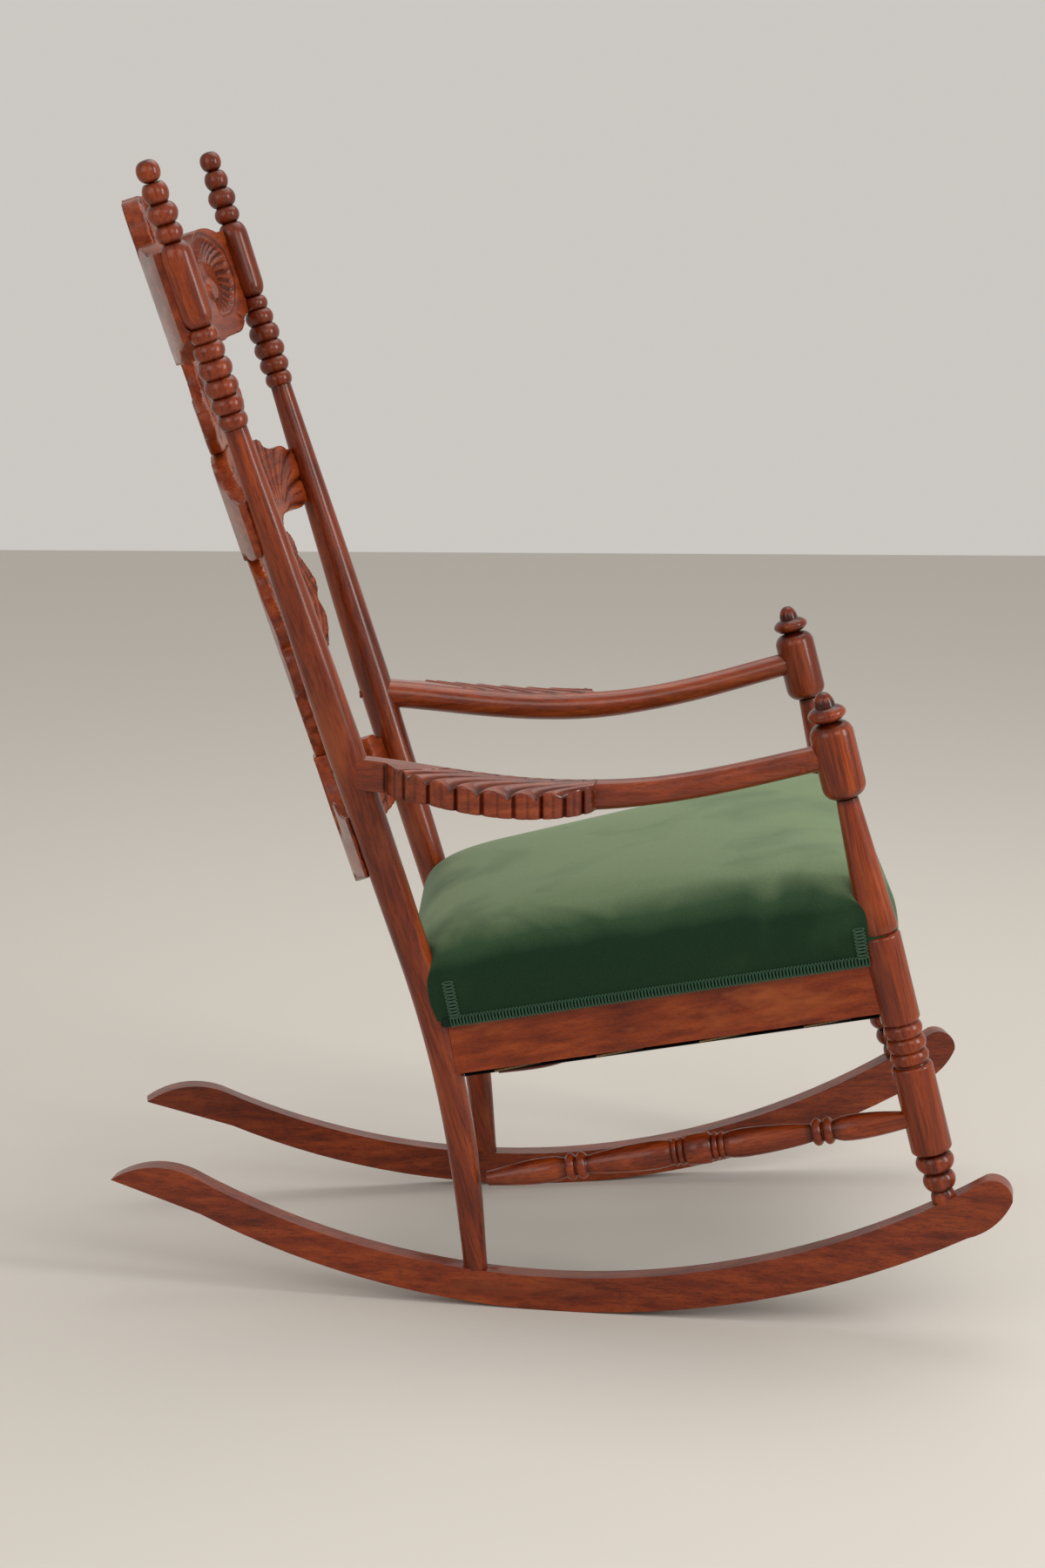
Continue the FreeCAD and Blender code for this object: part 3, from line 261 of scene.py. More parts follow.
def barrel(start, end, radius, shoulder, rows, run=1.0):
    """Adds a straight turning with rounded shoulders, longer along the post by the run."""
    for t in np.linspace(0.0, 1.0, 9):
        angle = t * math.pi / 2
        rows.append((start + run * shoulder * (1 - math.cos(angle)),
                     radius - shoulder * (1 - math.sin(angle))))
    for t in np.linspace(0.0, 1.0, 9):
        angle = t * math.pi / 2
        rows.append((end - run * shoulder * (1 - math.sin(angle)),
                     radius - shoulder * (1 - math.cos(angle))))


def paint_hollow_shade(mesh, shares):
    """Keeps how deep in a groove each point lies, as the share of painted shade there."""
    layer = mesh.attributes.new("hollow_shade", "FLOAT", "POINT")
    layer.data.foreach_set("value", np.asarray(shares, np.float32))


def ring_skin(name, points, rows, around):
    """A closed skin over rings of points, with flat ends."""
    faces = []
    for row in range(rows - 1):
        for index in range(around):
            nxt = (index + 1) % around
            faces.append((row * around + index, row * around + nxt,
                          (row + 1) * around + nxt, (row + 1) * around + index))
    faces.append(tuple(reversed(range(around))))
    faces.append(tuple((rows - 1) * around + index for index in range(around)))
    mesh = bpy.data.meshes.new(name)
    mesh.from_pydata([tuple(point) for point in points], [], faces)
    work = bmesh.new()
    work.from_mesh(mesh)
    bmesh.ops.recalc_face_normals(work, faces=work.faces)
    work.to_mesh(mesh)
    work.free()
    return mesh


def wood_skin(name, points, rows, around, shades):
    """A ring skin that is smooth but for its sharp edges, with painted shade kept for its
    grooves.
    """
    mesh = ring_skin(name, points, rows, around)
    paint_hollow_shade(mesh, shades)
    mesh.shade_smooth()
    mesh.set_sharp_from_angle(angle=math.radians(48))
    return mesh


def turned_mesh(name, rows, place, around=36):
    """A lathe-turned mesh: rows of distance and radius along a line or bent axis."""
    distances, radii = np.array(rows).T
    # Painted shade in the grooves between beads: the deeper a ring lies below its neighbours,
    # the darker it is painted.
    groove_shades = []
    for distance, radius in rows:
        beside = radii[np.abs(distances - distance) < 0.008].max() - radius
        groove_shades += [min(1.0, max(0.0, (beside - 0.0012) / 0.0045))] * around
    points = []
    for distance, radius in rows:
        centre, way = place(distance)
        side = np.cross(way, [0.0, 1.0, 0.0])
        side /= np.linalg.norm(side)
        other = np.cross(way, side)
        for index in range(around):
            angle = 2 * math.pi * index / around
            points.append(centre + radius * (math.cos(angle) * side + math.sin(angle) * other))
    return wood_skin(name, points, len(rows), around, groove_shades)


def pair_of(name, mesh, material, solid):
    """A wooden piece on the left and its mirror image on the right."""
    other = mesh.copy()
    other.name = mesh.name.replace("_left", "_right")
    other.transform(Matrix.Scale(-1, 4, (0, 1, 0)))
    other.flip_normals()
    own_piece(name + "_left", mesh, material, "oak", solid + "_left")
    own_piece(name + "_right", other, material, "oak", solid + "_right")


rear_length = 0.282
rear_bead = 0.018
ball_half_length = 0.0118
ball_radius = 0.0124
rear_rows = [(0.0, 0.001)]
for t in np.linspace(0.08, 0.97, 12):
    angle = math.pi * t
    rear_rows.append((ball_half_length * (1 - math.cos(angle)),
                      ball_radius * math.sin(angle) ** 0.72))
beads(0.0, rear_length, rear_bead, [
    (0.083, 0.158, 0.76, 0.50), (0.158, 0.234, 0.90, 0.55), (0.234, 0.300, 0.81, 0.52)],
    rear_rows)
barrel(0.302 * rear_length, 0.618 * rear_length, 0.93 * rear_bead, 0.0086, rear_rows, 1.9)
beads(0.0, rear_length, rear_bead, [
    (0.620, 0.675, 0.83, 0.62), (0.675, 0.738, 0.92, 0.68), (0.738, 0.808, 1.00, 0.72),
    (0.808, 0.876, 1.00, 0.72), (0.876, 0.940, 0.95, 0.68), (0.940, 1.000, 0.87, 0.64)],
    rear_rows)
down = (post_bend - post_top) / np.linalg.norm(post_bend - post_top)
under = (rear_foot - post_bend) / np.linalg.norm(rear_foot - post_bend)
straight_end = np.linalg.norm(post_bend - post_top) - bend_run
bend_end = straight_end + 2 * bend_run
foot_end = bend_end + np.linalg.norm(rear_foot - post_bend) - bend_run


def rear_place(distance):
    if distance < straight_end:
        return post_top + down * distance, down
    if distance > bend_end:
        return post_bend + under * (distance - bend_end + bend_run), under
    t = (distance - straight_end) / (2 * bend_run)
    start = post_bend - down * bend_run
    end = post_bend + under * bend_run
    centre = (1 - t) ** 2 * start + 2 * t * (1 - t) * post_bend + t ** 2 * end
    way = (1 - t) * down + t * under
    return centre, way / np.linalg.norm(way)


shaft_distances = [0.282, 0.360, 0.455, 0.548, 0.632, 0.700, 0.812, 0.885, 1.010, 1.110, 1.225]
shaft_radii = [0.0120, 0.0140, 0.0165, 0.0185, 0.0196, 0.0192, 0.0184, 0.0176, 0.0166, 0.0160,
               0.0129]
socket_depth = 0.0160
tenon_radius = 0.0100
for distance in np.linspace(rear_length, foot_end - socket_depth, 90):
    rear_rows.append((distance, float(np.interp(distance, shaft_distances, shaft_radii))))
rear_rows += [(foot_end - socket_depth + 0.0002, tenon_radius), (foot_end, tenon_radius)]
rear_oak = varnished_oak("Rear post oak", (0, 17.5, 0), wear=0.5, figure=0.9)
pair_of("rear_post_turned", turned_mesh("rear_post_turning_left", rear_rows, rear_place),
        rear_oak, "rear_post")


# The front posts: turned with a knobbed cap, the barrel that takes the arm, a tapered
# shaft, the block that takes the seat rails, three rings and a beaded foot.
front_top = np.array([0.271, 0.297, 0.691])
front_foot = np.array([0.415, 0.280, 0.139])
front_length = float(np.linalg.norm(front_foot - front_top))
front_way = (front_foot - front_top) / front_length
front_radius = 0.0216
knob_length = 0.016
knob_radius = 0.0108
front_rows = [(0.0, 0.001)]
for t in np.linspace(0.15, 1.0, 9):
    front_rows.append((knob_length * (1 - math.cos(t * math.pi / 2)),
                       knob_radius * math.sin(t * math.pi / 2) ** 0.8))
beads(0.0, front_length, front_radius, [(0.026, 0.055, 0.93, 0.46)], front_rows)
barrel(0.056 * front_length, 0.198 * front_length, 1.06 * front_radius, 0.0135, front_rows)
taper_start_share = 0.200
taper_end_share = 0.452
for t in np.linspace(0.0, 1.0, 24):
    share = taper_start_share + (taper_end_share - taper_start_share) * t
    front_rows.append((share * front_length, front_radius * (0.53 + 0.41 * t ** 0.92)))
front_rows.append((0.4555 * front_length, 0.86 * front_radius))
front_rows.append((0.4575 * front_length, 0.78 * front_radius))
barrel(0.4595 * front_length, 0.632 * front_length, 0.965 * front_radius, 0.0042, front_rows)
beads(0.0, front_length, front_radius, [
    (0.634, 0.660, 0.95, 0.80), (0.660, 0.688, 0.97, 0.80), (0.688, 0.713, 0.95, 0.80)],
    front_rows)
barrel(0.715 * front_length, 0.888 * front_length, 1.01 * front_radius, 0.0042, front_rows)
beads(0.0, front_length, front_radius, [
    (0.890, 0.928, 0.95, 0.62), (0.928, 0.964, 0.81, 0.54), (0.964, 0.998, 0.61, 0.44)],
    front_rows)
front_rows.append((front_length + 0.004, 0.44 * front_radius))


def front_place(distance):
    return front_top + front_way * distance, front_way


front_oak = varnished_oak("Front post oak", (0, 14.6, 0), wear=0.5, figure=1.0, shift=0.3)
pair_of("front_post_turned", turned_mesh("front_post_turning_left", front_rows, front_place),
        front_oak, "front_post")


# The stretchers: turned with a bulge and rings at the middle and a pair of rings toward
# each end, let into the legs.
stretcher_radius = 0.017


def stretcher_rows(half):
    """Radius by distance from one end to the other, the same both ways."""
    rows = [(0.0, stretcher_radius), (0.05 * half, 0.985 * stretcher_radius),
            (0.062 * half, 0.80 * stretcher_radius)]
    beads(0.0, half, stretcher_radius, [
        (0.065, 0.093, 0.90, 0.76), (0.096, 0.124, 0.88, 0.72)], rows)
    bulge_start = 0.128
    bulge_end = 0.522
    for t in np.linspace(0.0, 1.0, 14):
        share = bulge_start + (bulge_end - bulge_start) * t
        rise = math.sin(min(1.0, (t + 0.18) / 0.40) * math.pi / 2)
        fall = math.cos(max(0.0, t - 0.15) / 0.85 * math.pi / 2) ** 0.8
        rows.append((share * half, stretcher_radius * (0.555 + 0.36 * rise * fall)))
    beads(0.0, half, stretcher_radius, [
        (0.526, 0.574, 0.86, 0.60), (0.577, 0.625, 0.86, 0.60)], rows)
    middle_start = 0.630
    for t in np.linspace(0.0, 1.0, 12):
        share = middle_start + (1.0 - middle_start) * t
        swell = math.sin(math.pi * min(1.0, t ** 0.62))
        rows.append((share * half,
                     stretcher_radius * (0.46 + 0.34 * swell + 0.16 * (1 - t) ** 6)))
    return [(-distance, radius) for distance, radius in reversed(rows[1:])] + rows


def stretcher_piece(name, ends, material, *stands_for):
    start, end = (np.array(point) for point in ends)
    half = float(np.linalg.norm(end - start)) / 2
    way = (end - start) / (2 * half)
    middle = (start + end) / 2
    mesh = turned_mesh(name, stretcher_rows(half),
                       lambda distance: (middle + way * distance, way))
    return own_piece(name, mesh, material, "oak", *stands_for)


side_oak = varnished_oak("Side stretcher oak", (0, -78, 0), wear=0.4, figure=0.9, shift=0.6)
cross_oak = varnished_oak("Cross stretcher oak", (90, 0, 0), wear=0.4, figure=0.9, shift=0.2)
for side, sign in (("left", 1), ("right", -1)):
    stretcher_piece("side_stretcher_turned_" + side,
                    [(-0.0700, sign * 0.2125, 0.1430), (0.3805, sign * 0.2860, 0.2370)],
                    side_oak, "side_stretcher_" + side)
for place in ("front", "rear"):
    box_low, box_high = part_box(place + "_stretcher")
    middle = (box_low + box_high) / 2
    stretcher_piece(place + "_stretcher_turned",
                    [(middle.x, box_low.y, middle.z), (middle.x, box_high.y, middle.z)],
                    cross_oak, place + "_stretcher")


# The seat frame: four oak rails tenoned into the posts, glue blocks screwed across the
# inside corners, and the bare lower band of the rails below the braid.
rail_oak = varnished_oak("Side rail oak", (0, -78.4, 0), wear=1.0, figure=0.3, hollow_shade=0.7,
                         coat=0.12)
cross_rail_oak = varnished_oak("Cross rail oak", (90, 0, 0), wear=0.9, figure=0.7, hollow_shade=0.7,
                               coat=0.12, shift=0.4)
for side in ("right", "left"):
    dress(nodes["side_rail_" + side], rail_oak)
for place in ("rear", "front"):
    dress(nodes[place + "_rail"], cross_rail_oak)
dress(nodes["corner_blocks"], cross_rail_oak)
steel, steel_shader = new_material("Old screw steel")[:2]
preset(steel_shader, {"Base Color": (0.30, 0.28, 0.26, 1), "Metallic": 1.0, "Roughness": 0.42})
dress(nodes["corner_screws"], steel)
dress(nodes["seat_springs"], steel)


# The arms: a round bar in front that widens over the rear half into a shell, carved on
# top with flutes that start inside and sweep back and outward to a scalloped edge.
arm_oak = varnished_oak("Arm oak", (0, -87, 0), wear=0.3, figure=0.7, hollow_shade=1.0, coat=0.45,
                        shift=0.9)
plug_oak = varnished_oak("Plug oak", (0, 0, 0), wear=0.2, figure=0.6, hollow_shade=0.7)
arm_start = np.array([-0.2118, 0.2317])
arm_end = np.array([0.2890, 0.2949])
arm_length = float(np.linalg.norm(arm_end - arm_start))
arm_way = (arm_end - arm_start) / arm_length
arm_out = np.array([-arm_way[1], arm_way[0]])
arm_radius = 0.0158
notch_shares = np.array([0.075, 0.120, 0.175, 0.235, 0.290, 0.355, 0.410, 0.455, 0.490, 0.510])
notches = notch_shares * arm_length
shell_reach = 0.068
width_shares = np.array([0.28, 0.62, 0.80, 0.94, 1.00, 1.00, 0.90, 0.76, 0.60, 0.46])
shell_widths = width_shares * shell_reach
shell_end = notches[-1]
inner_angles = np.radians(np.linspace(-90, 90, 17)[:-1])
top_shares = np.linspace(0, 1, 64)
edge_shares = np.linspace(0, 1, 14)[1:-1]
under_shares = np.linspace(1, 0, 22)[:-1]


def smooth_step(low, high, value):
    t = np.clip((value - low) / (high - low), 0.0, 1.0)
    return t * t * (3 - 2 * t)


def arm_middle(along):
    """Height of the arm's middle line, from the rear post to the front post."""
    places = np.array([0.0, 0.16, 0.30, 0.44, 0.60, 0.80, 1.0]) * arm_length
    heights = np.array([0.5945, 0.5880, 0.5765, 0.5750, 0.5825, 0.5995, 0.6270])
    return np.polyval(np.polyfit(places, heights, 4), along)


def shell_width(along):
    """How far the shell reaches outward, with its squared scallops."""
    wide = np.interp(along, notches, shell_widths)
    lobe = np.abs(np.sin(np.pi * np.interp(along, notches, np.arange(len(notches))))) ** 0.35
    wide = wide - 0.0050 * (1 - lobe) * (along > notches[0]) * (along < notches[-1])
    return np.where(along < notches[0], 0.0175, wide)


def flutes(along, out):
    """Depth of the carved top in metres, and the painted shade in its flutes."""
    sweep = 0.075 * smooth_step(-0.022, 0.060, out) ** 1.4
    index = np.interp(along - 0.070 + sweep, notches, np.arange(len(notches)), left=-1, right=-1)
    rib = np.abs(np.sin(np.pi * index)) ** 0.7
    shown = smooth_step(0.016, 0.036, along) * (1 - smooth_step(0.262, 0.275, along))
    shown = shown * smooth_step(-0.012, 0.004, out) * (index >= 0)
    deep = 0.45 + 0.55 * smooth_step(0.0, 0.040, out)
    return (0.0064 * (1 - rib) - 0.0016 * rib) * deep * shown, (1 - rib) * shown


def bar_section(along):
    """Places out and up round the plain bar, and the painted shade at each, which is none."""
    radius = float(np.interp(along, [shell_end, shell_end + 0.06, arm_length],
                             [arm_radius, 0.0146, 0.0138]))
    around = np.r_[inner_angles, np.radians(90 - 60 * top_shares),
                   np.radians(30 - 60 * edge_shares), np.radians(-90 + 60 * under_shares)]
    out = -radius * np.cos(around)
    out[len(inner_angles):] *= -1
    return out, radius * np.sin(around), np.zeros(len(out))


def shell_section(along):
    """Places out and up round the carved shell, and the painted shade at each."""
    wide = float(shell_width(along))
    droop = 0.0045 * smooth_step(0.0, 1.0, wide / shell_reach)
    deep = float(np.interp(along, [0.0, 0.05, 0.09], [0.033, 0.032, 0.0262]))
    cut, flute_shade = flutes(along, top_shares * wide)
    rounding = np.clip((top_shares - 0.985) / 0.015, 0, 1) ** 2 * 0.0012
    top_up = arm_radius - droop * top_shares ** 1.5 - cut - rounding
    middles = (notches[1:] + notches[:-1]) / 2
    at_notch = np.abs(along - notches).min()
    at_middle = np.abs(along - middles).min()
    groove = math.exp(-(at_notch / 0.0022) ** 2) + 0.5 * math.exp(-(at_middle / 0.0015) ** 2)
    groove = groove * (along > notches[0] - 0.004)
    edge_out = wide - 0.0022 * groove
    edge_low = arm_radius - droop - deep
    out = np.r_[-arm_radius * np.cos(inner_angles), top_shares * wide,
                np.full(len(edge_shares), edge_out), under_shares * edge_out]
    up = np.r_[arm_radius * np.sin(inner_angles), top_up,
               top_up[-1] + (edge_low - top_up[-1]) * edge_shares,
               edge_low + (-arm_radius - edge_low) * (1 - under_shares)]
    # Painted shade in the flutes, in the notches of the edge and, lighter, all under the shell.
    shade = np.r_[np.zeros(len(inner_angles)), flute_shade, np.full(len(edge_shares), 0.8 * groove),
                  np.full(len(under_shares), 0.3)]
    return out, up, shade


def arm_mesh(name):
    """The arm as a skin of cross sections: inner side, fluted top, edge and underside."""
    places = np.r_[np.linspace(0.0, shell_end - 0.0006, 300),
                   np.linspace(shell_end + 0.0006, arm_length, 60)]
    points = []
    shades = []
    for along in places:
        section = bar_section(along) if along > shell_end else shell_section(along)
        flat = arm_start + arm_way * along
        centre = float(arm_middle(along))
        for out, up, shade in zip(*section):
            points.append((flat[0] + arm_out[0] * out, flat[1] + arm_out[1] * out, centre + up))
            shades.append(shade)
    return wood_skin(name, points, len(places), len(points) // len(places), shades)


pair_of("arm_carved", arm_mesh("arm_skin_left"), arm_oak, "arm")
dress(nodes["arm_pegs"], plug_oak)
plug_rise = 0.0045
plug_inset = 0.0008
for node_name, material, slot in (("arm_plugs", plug_oak, "oak"),
                                  ("arm_screws", steel, "screw_steel")):
    fixing = own_piece(node_name + "_set", merged_copy(node_name), material, slot, node_name)
    for vertex in fixing.data.vertices:
        inward = -plug_inset if vertex.co.y > 0 else plug_inset
        vertex.co += Vector((0.0, inward, plug_rise))


# The back: bowed boards of oak between the posts, pierced and carved in low relief with
# a fan at each end of the crest, leaves on the middle rail and scrolls below.
back_oak = varnished_oak("Back oak", (90, 0, 0), wear=0.75, figure=0.5, hollow_shade=1.0, coat=0.2,
                         shift=0.5)
back_rise = post_top - post_bend
back_lean = math.atan(-back_rise[0] / back_rise[2])
back_forward = np.array([math.cos(back_lean), 0.0, math.sin(back_lean)])
back_up = np.array([-math.sin(back_lean), 0.0, math.cos(back_lean)])
back_origin = post_bend * [1, 0, 1]


def on_board(points):
    """Distance from the middle and up the slope, in millimetres."""
    up = (points - back_origin) @ back_up
    return np.abs(points[:, 1]) * 1000, up * 1000


def facing(normals):
    return smooth_step(0.60, 0.92, normals @ back_forward)


def polar(across, up, centre):
    """Distance in millimetres and direction in degrees from a centre on the board."""
    aside = across - centre[0]
    above = up - centre[1]
    return np.hypot(aside, above), np.degrees(np.arctan2(above, aside))


def line_cut(distance, width):
    """One on a cut line and nought a little way off it."""
    return np.exp(-(distance / width) ** 2)


def gouge(phase, width):
    """One at the middle of each cut and nought between the cuts."""
    away = np.abs(phase - np.round(phase))
    return np.clip(1 - away / width, 0.0, 1.0) ** 1.5


def vectors(source, key):
    """A mesh's points or normals as rows of numbers."""
    values = np.zeros(len(source) * 3, np.float32)
    source.foreach_get(key, values)
    return values.reshape(-1, 3).astype(float)


def set_points(mesh, points):
    mesh.vertices.foreach_set("co", points.astype(np.float32).ravel())


def result_of(thing):
    """The plain mesh that an object's modifiers make."""
    return bpy.data.meshes.new_from_object(
        thing.evaluated_get(bpy.context.evaluated_depsgraph_get()))


def carved(node_name, voxel, relief, material):
    """A solid with an even skin whose points are cut in or raised by a relief, with painted
    shade in its cuts.
    """
    mesh = merged_copy(node_name)
    draft = in_scene(node_name + "_draft", mesh)
    remesh = draft.modifiers.new("Even skin", "REMESH")
    remesh.mode = "VOXEL"
    remesh.voxel_size = voxel
    skin = result_of(draft)
    bpy.data.objects.remove(draft)
    points = vectors(skin.vertices, "co")
    normals = vectors(skin.vertex_normals, "vector")
    cut, shade = relief(*on_board(points))
    front = facing(normals)
    set_points(skin, points - normals * (cut * front)[:, None] / 1000)
    # The relief's shade is painted shade in the cuts, on the faces that look forward.
    paint_hollow_shade(skin, np.clip(shade * front, 0, 1))
    skin.shade_smooth()
    skin.update()
    return own_piece(node_name + "_carved", skin, material, "oak", node_name)


def crest_relief(across, up):
    fan_centre = (163, 868)
    radius, angle = polar(across, up, fan_centre)
    rim = np.interp(angle, [-70, -45, -31, -8, 6, 26, 50, 75, 105, 130],
                    [26, 36, 50, 72, 86, 92, 78, 68, 52, 36])
    share = radius / rim
    fan = smooth_step(-80, -60, angle) * (1 - smooth_step(110, 130, angle))
    dish = np.sin(np.pi * np.clip((share - 0.30) / 0.74, 0, 1)) * 5.0 * fan
    rays = gouge((angle + 26 * share) / 7.4, 0.5)
    rays = rays * smooth_step(0.54, 0.66, share) * (1 - smooth_step(0.94, 1.0, share)) * fan
    boss = -3.0 * (1 - smooth_step(0.20, 0.33, share))
    ring = line_cut(share - 0.33, 0.035) * fan
    border = line_cut(share - 1.05, 0.03) * fan
    slant = up - 829 + (across - 232) * 0.5
    notch = line_cut(slant - 4, 1.7) * line_cut(across - 234, 8)
    notch = notch + line_cut(slant + 4, 1.7) * line_cut(across - 237, 7)
    scroll = line_cut(np.hypot(across - 58, (up - 938) * 0.8) - 40, 2.6) * (across < 112)
    sun_reach, sun_angle = polar(across, up, (0, 905))
    sun = gouge(sun_angle / 15, 0.3) * smooth_step(52, 60, sun_reach) * (across < 112)
    swag = line_cut(up - 856 - 0.0009 * across ** 2, 2.4) * (across < 120)
    cut = dish + 3.4 * rays + boss + 1.5 * border + 2.4 * notch
    cut = cut + 1.8 * scroll + 1.5 * sun + 1.6 * swag
    # Painted shade: in the cuts, a dark ring at the foot of the raised boss, and in the dish.
    shade = 0.85 * rays ** 1.5 + 0.5 * ring + 0.6 * border + 0.9 * notch + 0.15 * dish / 5
    shade = shade + 0.7 * (scroll + sun + swag)
    return cut, shade


def leaf_relief(across, up):
    leaf_root = (146, 606)
    radius, angle = polar(across, up, leaf_root)
    phase = (angle + 0.16 * radius + 6) / 19.0
    veins = gouge(phase, 0.15) * smooth_step(12, 34, radius) * smooth_step(-20, -5, angle)
    pillow = (0.5 + 0.5 * np.cos(2 * np.pi * phase)) * smooth_step(20, 40, radius) \
        * smooth_step(-15, 0, angle)
    short = gouge(phase + 0.5, 0.10) * smooth_step(52, 62, radius) \
        * (1 - smooth_step(84, 92, radius)) * smooth_step(-10, 0, angle)
    wing = smooth_step(118, 134, across)
    middle_lines = line_cut(up - 640 - 12 * np.cos(across / 26), 2.2) \
        + line_cut(up - 682 + 8 * np.cos(across / 22), 2.2)
    cut = (2.6 * veins + 1.2 * pillow + 1.5 * short) * wing + 1.9 * middle_lines * (1 - wing)
    shade = (veins + 0.15 * pillow + 0.7 * short) * wing + 0.8 * middle_lines * (1 - wing)
    return cut, shade


def splat_relief(across, up):
    edge = np.interp(up, [365, 400, 440, 470, 500, 530, 560, 597],
                     [80, 110, 150, 190, 205, 190, 178, 130])
    inward = edge - across
    long_cut = line_cut(inward - 26 - 5 * np.sin(up / 17), 2.0)
    long_cut = long_cut + 0.8 * line_cut(inward - 44 - 4 * np.sin(up / 23), 2.0)
    roll = line_cut(inward - 35 - 4 * np.sin(up / 19), 9)
    veins = gouge((up - 0.55 * across + 0.004 * (across - 120) ** 2) / 34, 0.09)
    veins = veins * smooth_step(112, 128, across) * (1 - smooth_step(24, 32, inward))
    inner = line_cut(np.hypot(across - 56, (up - 508) * 0.62) - 34, 2.2)
    ray_reach, ray_angle = polar(across, up, (0, 400))
    rays = gouge(ray_angle / 11, 0.18) * smooth_step(60, 90, ray_reach) * (across < 110)
    cut = 2.4 * long_cut + 2.2 * veins + 1.8 * inner + 1.1 * rays - 0.8 * roll
    shade = 0.9 * long_cut + veins + 0.8 * inner + 0.6 * rays
    return cut, shade


def base_relief(across, up):
    swirl = line_cut(np.hypot(across - 44, (up - 294) * 0.75) - 32, 2.2)
    outer = line_cut(np.hypot(across - 132, up - 262) - 30, 2.2)
    foot = line_cut(up - 240 - 0.0006 * across ** 2, 2.0)
    cut = 1.9 * swirl + 1.9 * outer + 1.5 * foot
    return cut, 0.8 * (swirl + outer + foot)


def fret_relief(across, up):
    loop = line_cut(np.hypot(across - 44, (up - 760) * 0.6) - 24, 2.0)
    tail = line_cut(up - 737 - 0.22 * (across - 100), 2.0) * (across > 84)
    return 1.9 * loop + 1.8 * tail, 0.8 * (loop + tail)


for node_name, voxel, relief in (
        ("crest_rail", 0.0016, crest_relief), ("middle_rail", 0.0018, leaf_relief),
        ("lower_splat", 0.0022, splat_relief), ("lower_rail", 0.0022, base_relief),
        ("upper_splat", 0.0021, fret_relief)):
    carved(node_name, voxel, relief, back_oak)


# The seat: a sprung seat with webbing below and matted stuffing under a burlap skin,
# covered in green velvet stretched over a high crown and tacked to the rails.
seat_lean = math.radians(11.6)
seat_origin = np.array([-0.110, 0.0, 0.260])
seat_ahead = np.array([math.cos(seat_lean), 0.0, math.sin(seat_lean)])
seat_square = np.array([-math.sin(seat_lean), 0.0, math.cos(seat_lean)])
rear_corner = np.array([-0.00465, 0.20789])
front_corner = np.array([0.47580, 0.28800])
cover_stand = 0.012
cover_end_stand = 0.013
crown_sections = np.array([
    (-0.0030, 0.054), (-0.0070, 0.078), (-0.0088, 0.098), (-0.0070, 0.120), (0.0000, 0.1345),
    (0.0075, 0.1430), (0.0180, 0.1505), (0.0300, 0.1562), (0.0500, 0.1612), (0.0750, 0.1652),
    (0.1100, 0.1678), (0.1500, 0.1694), (0.1900, 0.1700)])


def seat_ring(inset, corner_radius, count):
    """The seat's outline with rounded corners, as points ahead and across."""
    corner_pull = 0.86
    longest_share = 0.48
    reach = cover_stand - inset
    slope = (front_corner[1] - rear_corner[1]) / (front_corner[0] - rear_corner[0])
    back = rear_corner[0] - cover_end_stand + inset
    front = front_corner[0] + cover_end_stand - inset
    side = rear_corner[1] + reach / math.cos(math.atan(slope))
    rear_half = side + (back - rear_corner[0]) * slope
    front_half = side + (front - rear_corner[0]) * slope
    corners = np.array([(back, -rear_half), (front, -front_half), (front, front_half),
                        (back, rear_half)])
    line = []
    for index in range(4):
        here = corners[index]
        before = corners[index - 1] - here
        after = corners[(index + 1) % 4] - here
        shorter = min(np.linalg.norm(before), np.linalg.norm(after))
        before /= np.linalg.norm(before)
        after /= np.linalg.norm(after)
        half = math.acos(float(np.clip(before @ after, -1, 1))) / 2
        run = min(corner_radius / math.tan(half), longest_share * shorter)
        start = here + before * run
        end = here + after * run
        pulled = here * corner_pull + (start + end) * (1 - corner_pull) / 2
        for t in np.linspace(0, 1, 17):
            line.append((1 - t) ** 2 * start + 2 * t * (1 - t) * pulled + t ** 2 * end)
    line = np.array(line + line[:1])
    steps = np.r_[0, np.cumsum(np.linalg.norm(np.diff(line, axis=0), axis=1))]
    wanted = np.linspace(0, steps[-1], count, endpoint=False)
    return np.stack([np.interp(wanted, steps, line[:, 0]),
                     np.interp(wanted, steps, line[:, 1])], 1)


def on_seat(ahead, across, level):
    return seat_origin + ahead * seat_ahead + level * seat_square + np.array([0, across, 0])


def cushion_mesh(shrink):
    ring_count = 200
    insets = []
    levels = []
    spread = np.r_[0, np.cumsum(np.linalg.norm(np.diff(crown_sections, axis=0), axis=1))]
    for t in np.linspace(0, spread[-1], 34):
        insets.append(float(np.interp(t, spread, crown_sections[:, 0])))
        levels.append(float(np.interp(t, spread, crown_sections[:, 1])))
    kernel = np.array([0.25, 0.5, 0.25])
    for _ in range(2):
        insets[1:-1] = np.convolve(insets, kernel, "valid")
        levels[1:-1] = np.convolve(levels, kernel, "valid")
    points = []
    for inset, level in zip(insets, levels):
        rounding = 0.044 + max(0.0, inset) * 0.22
        lower = shrink * float(smooth_step(0.110, 0.150, level))
        for ahead, across in seat_ring(inset + lower, rounding, ring_count):
            points.append(on_seat(ahead, across, level - lower))
    return ring_skin("seat_velvet", points, len(insets), ring_count)


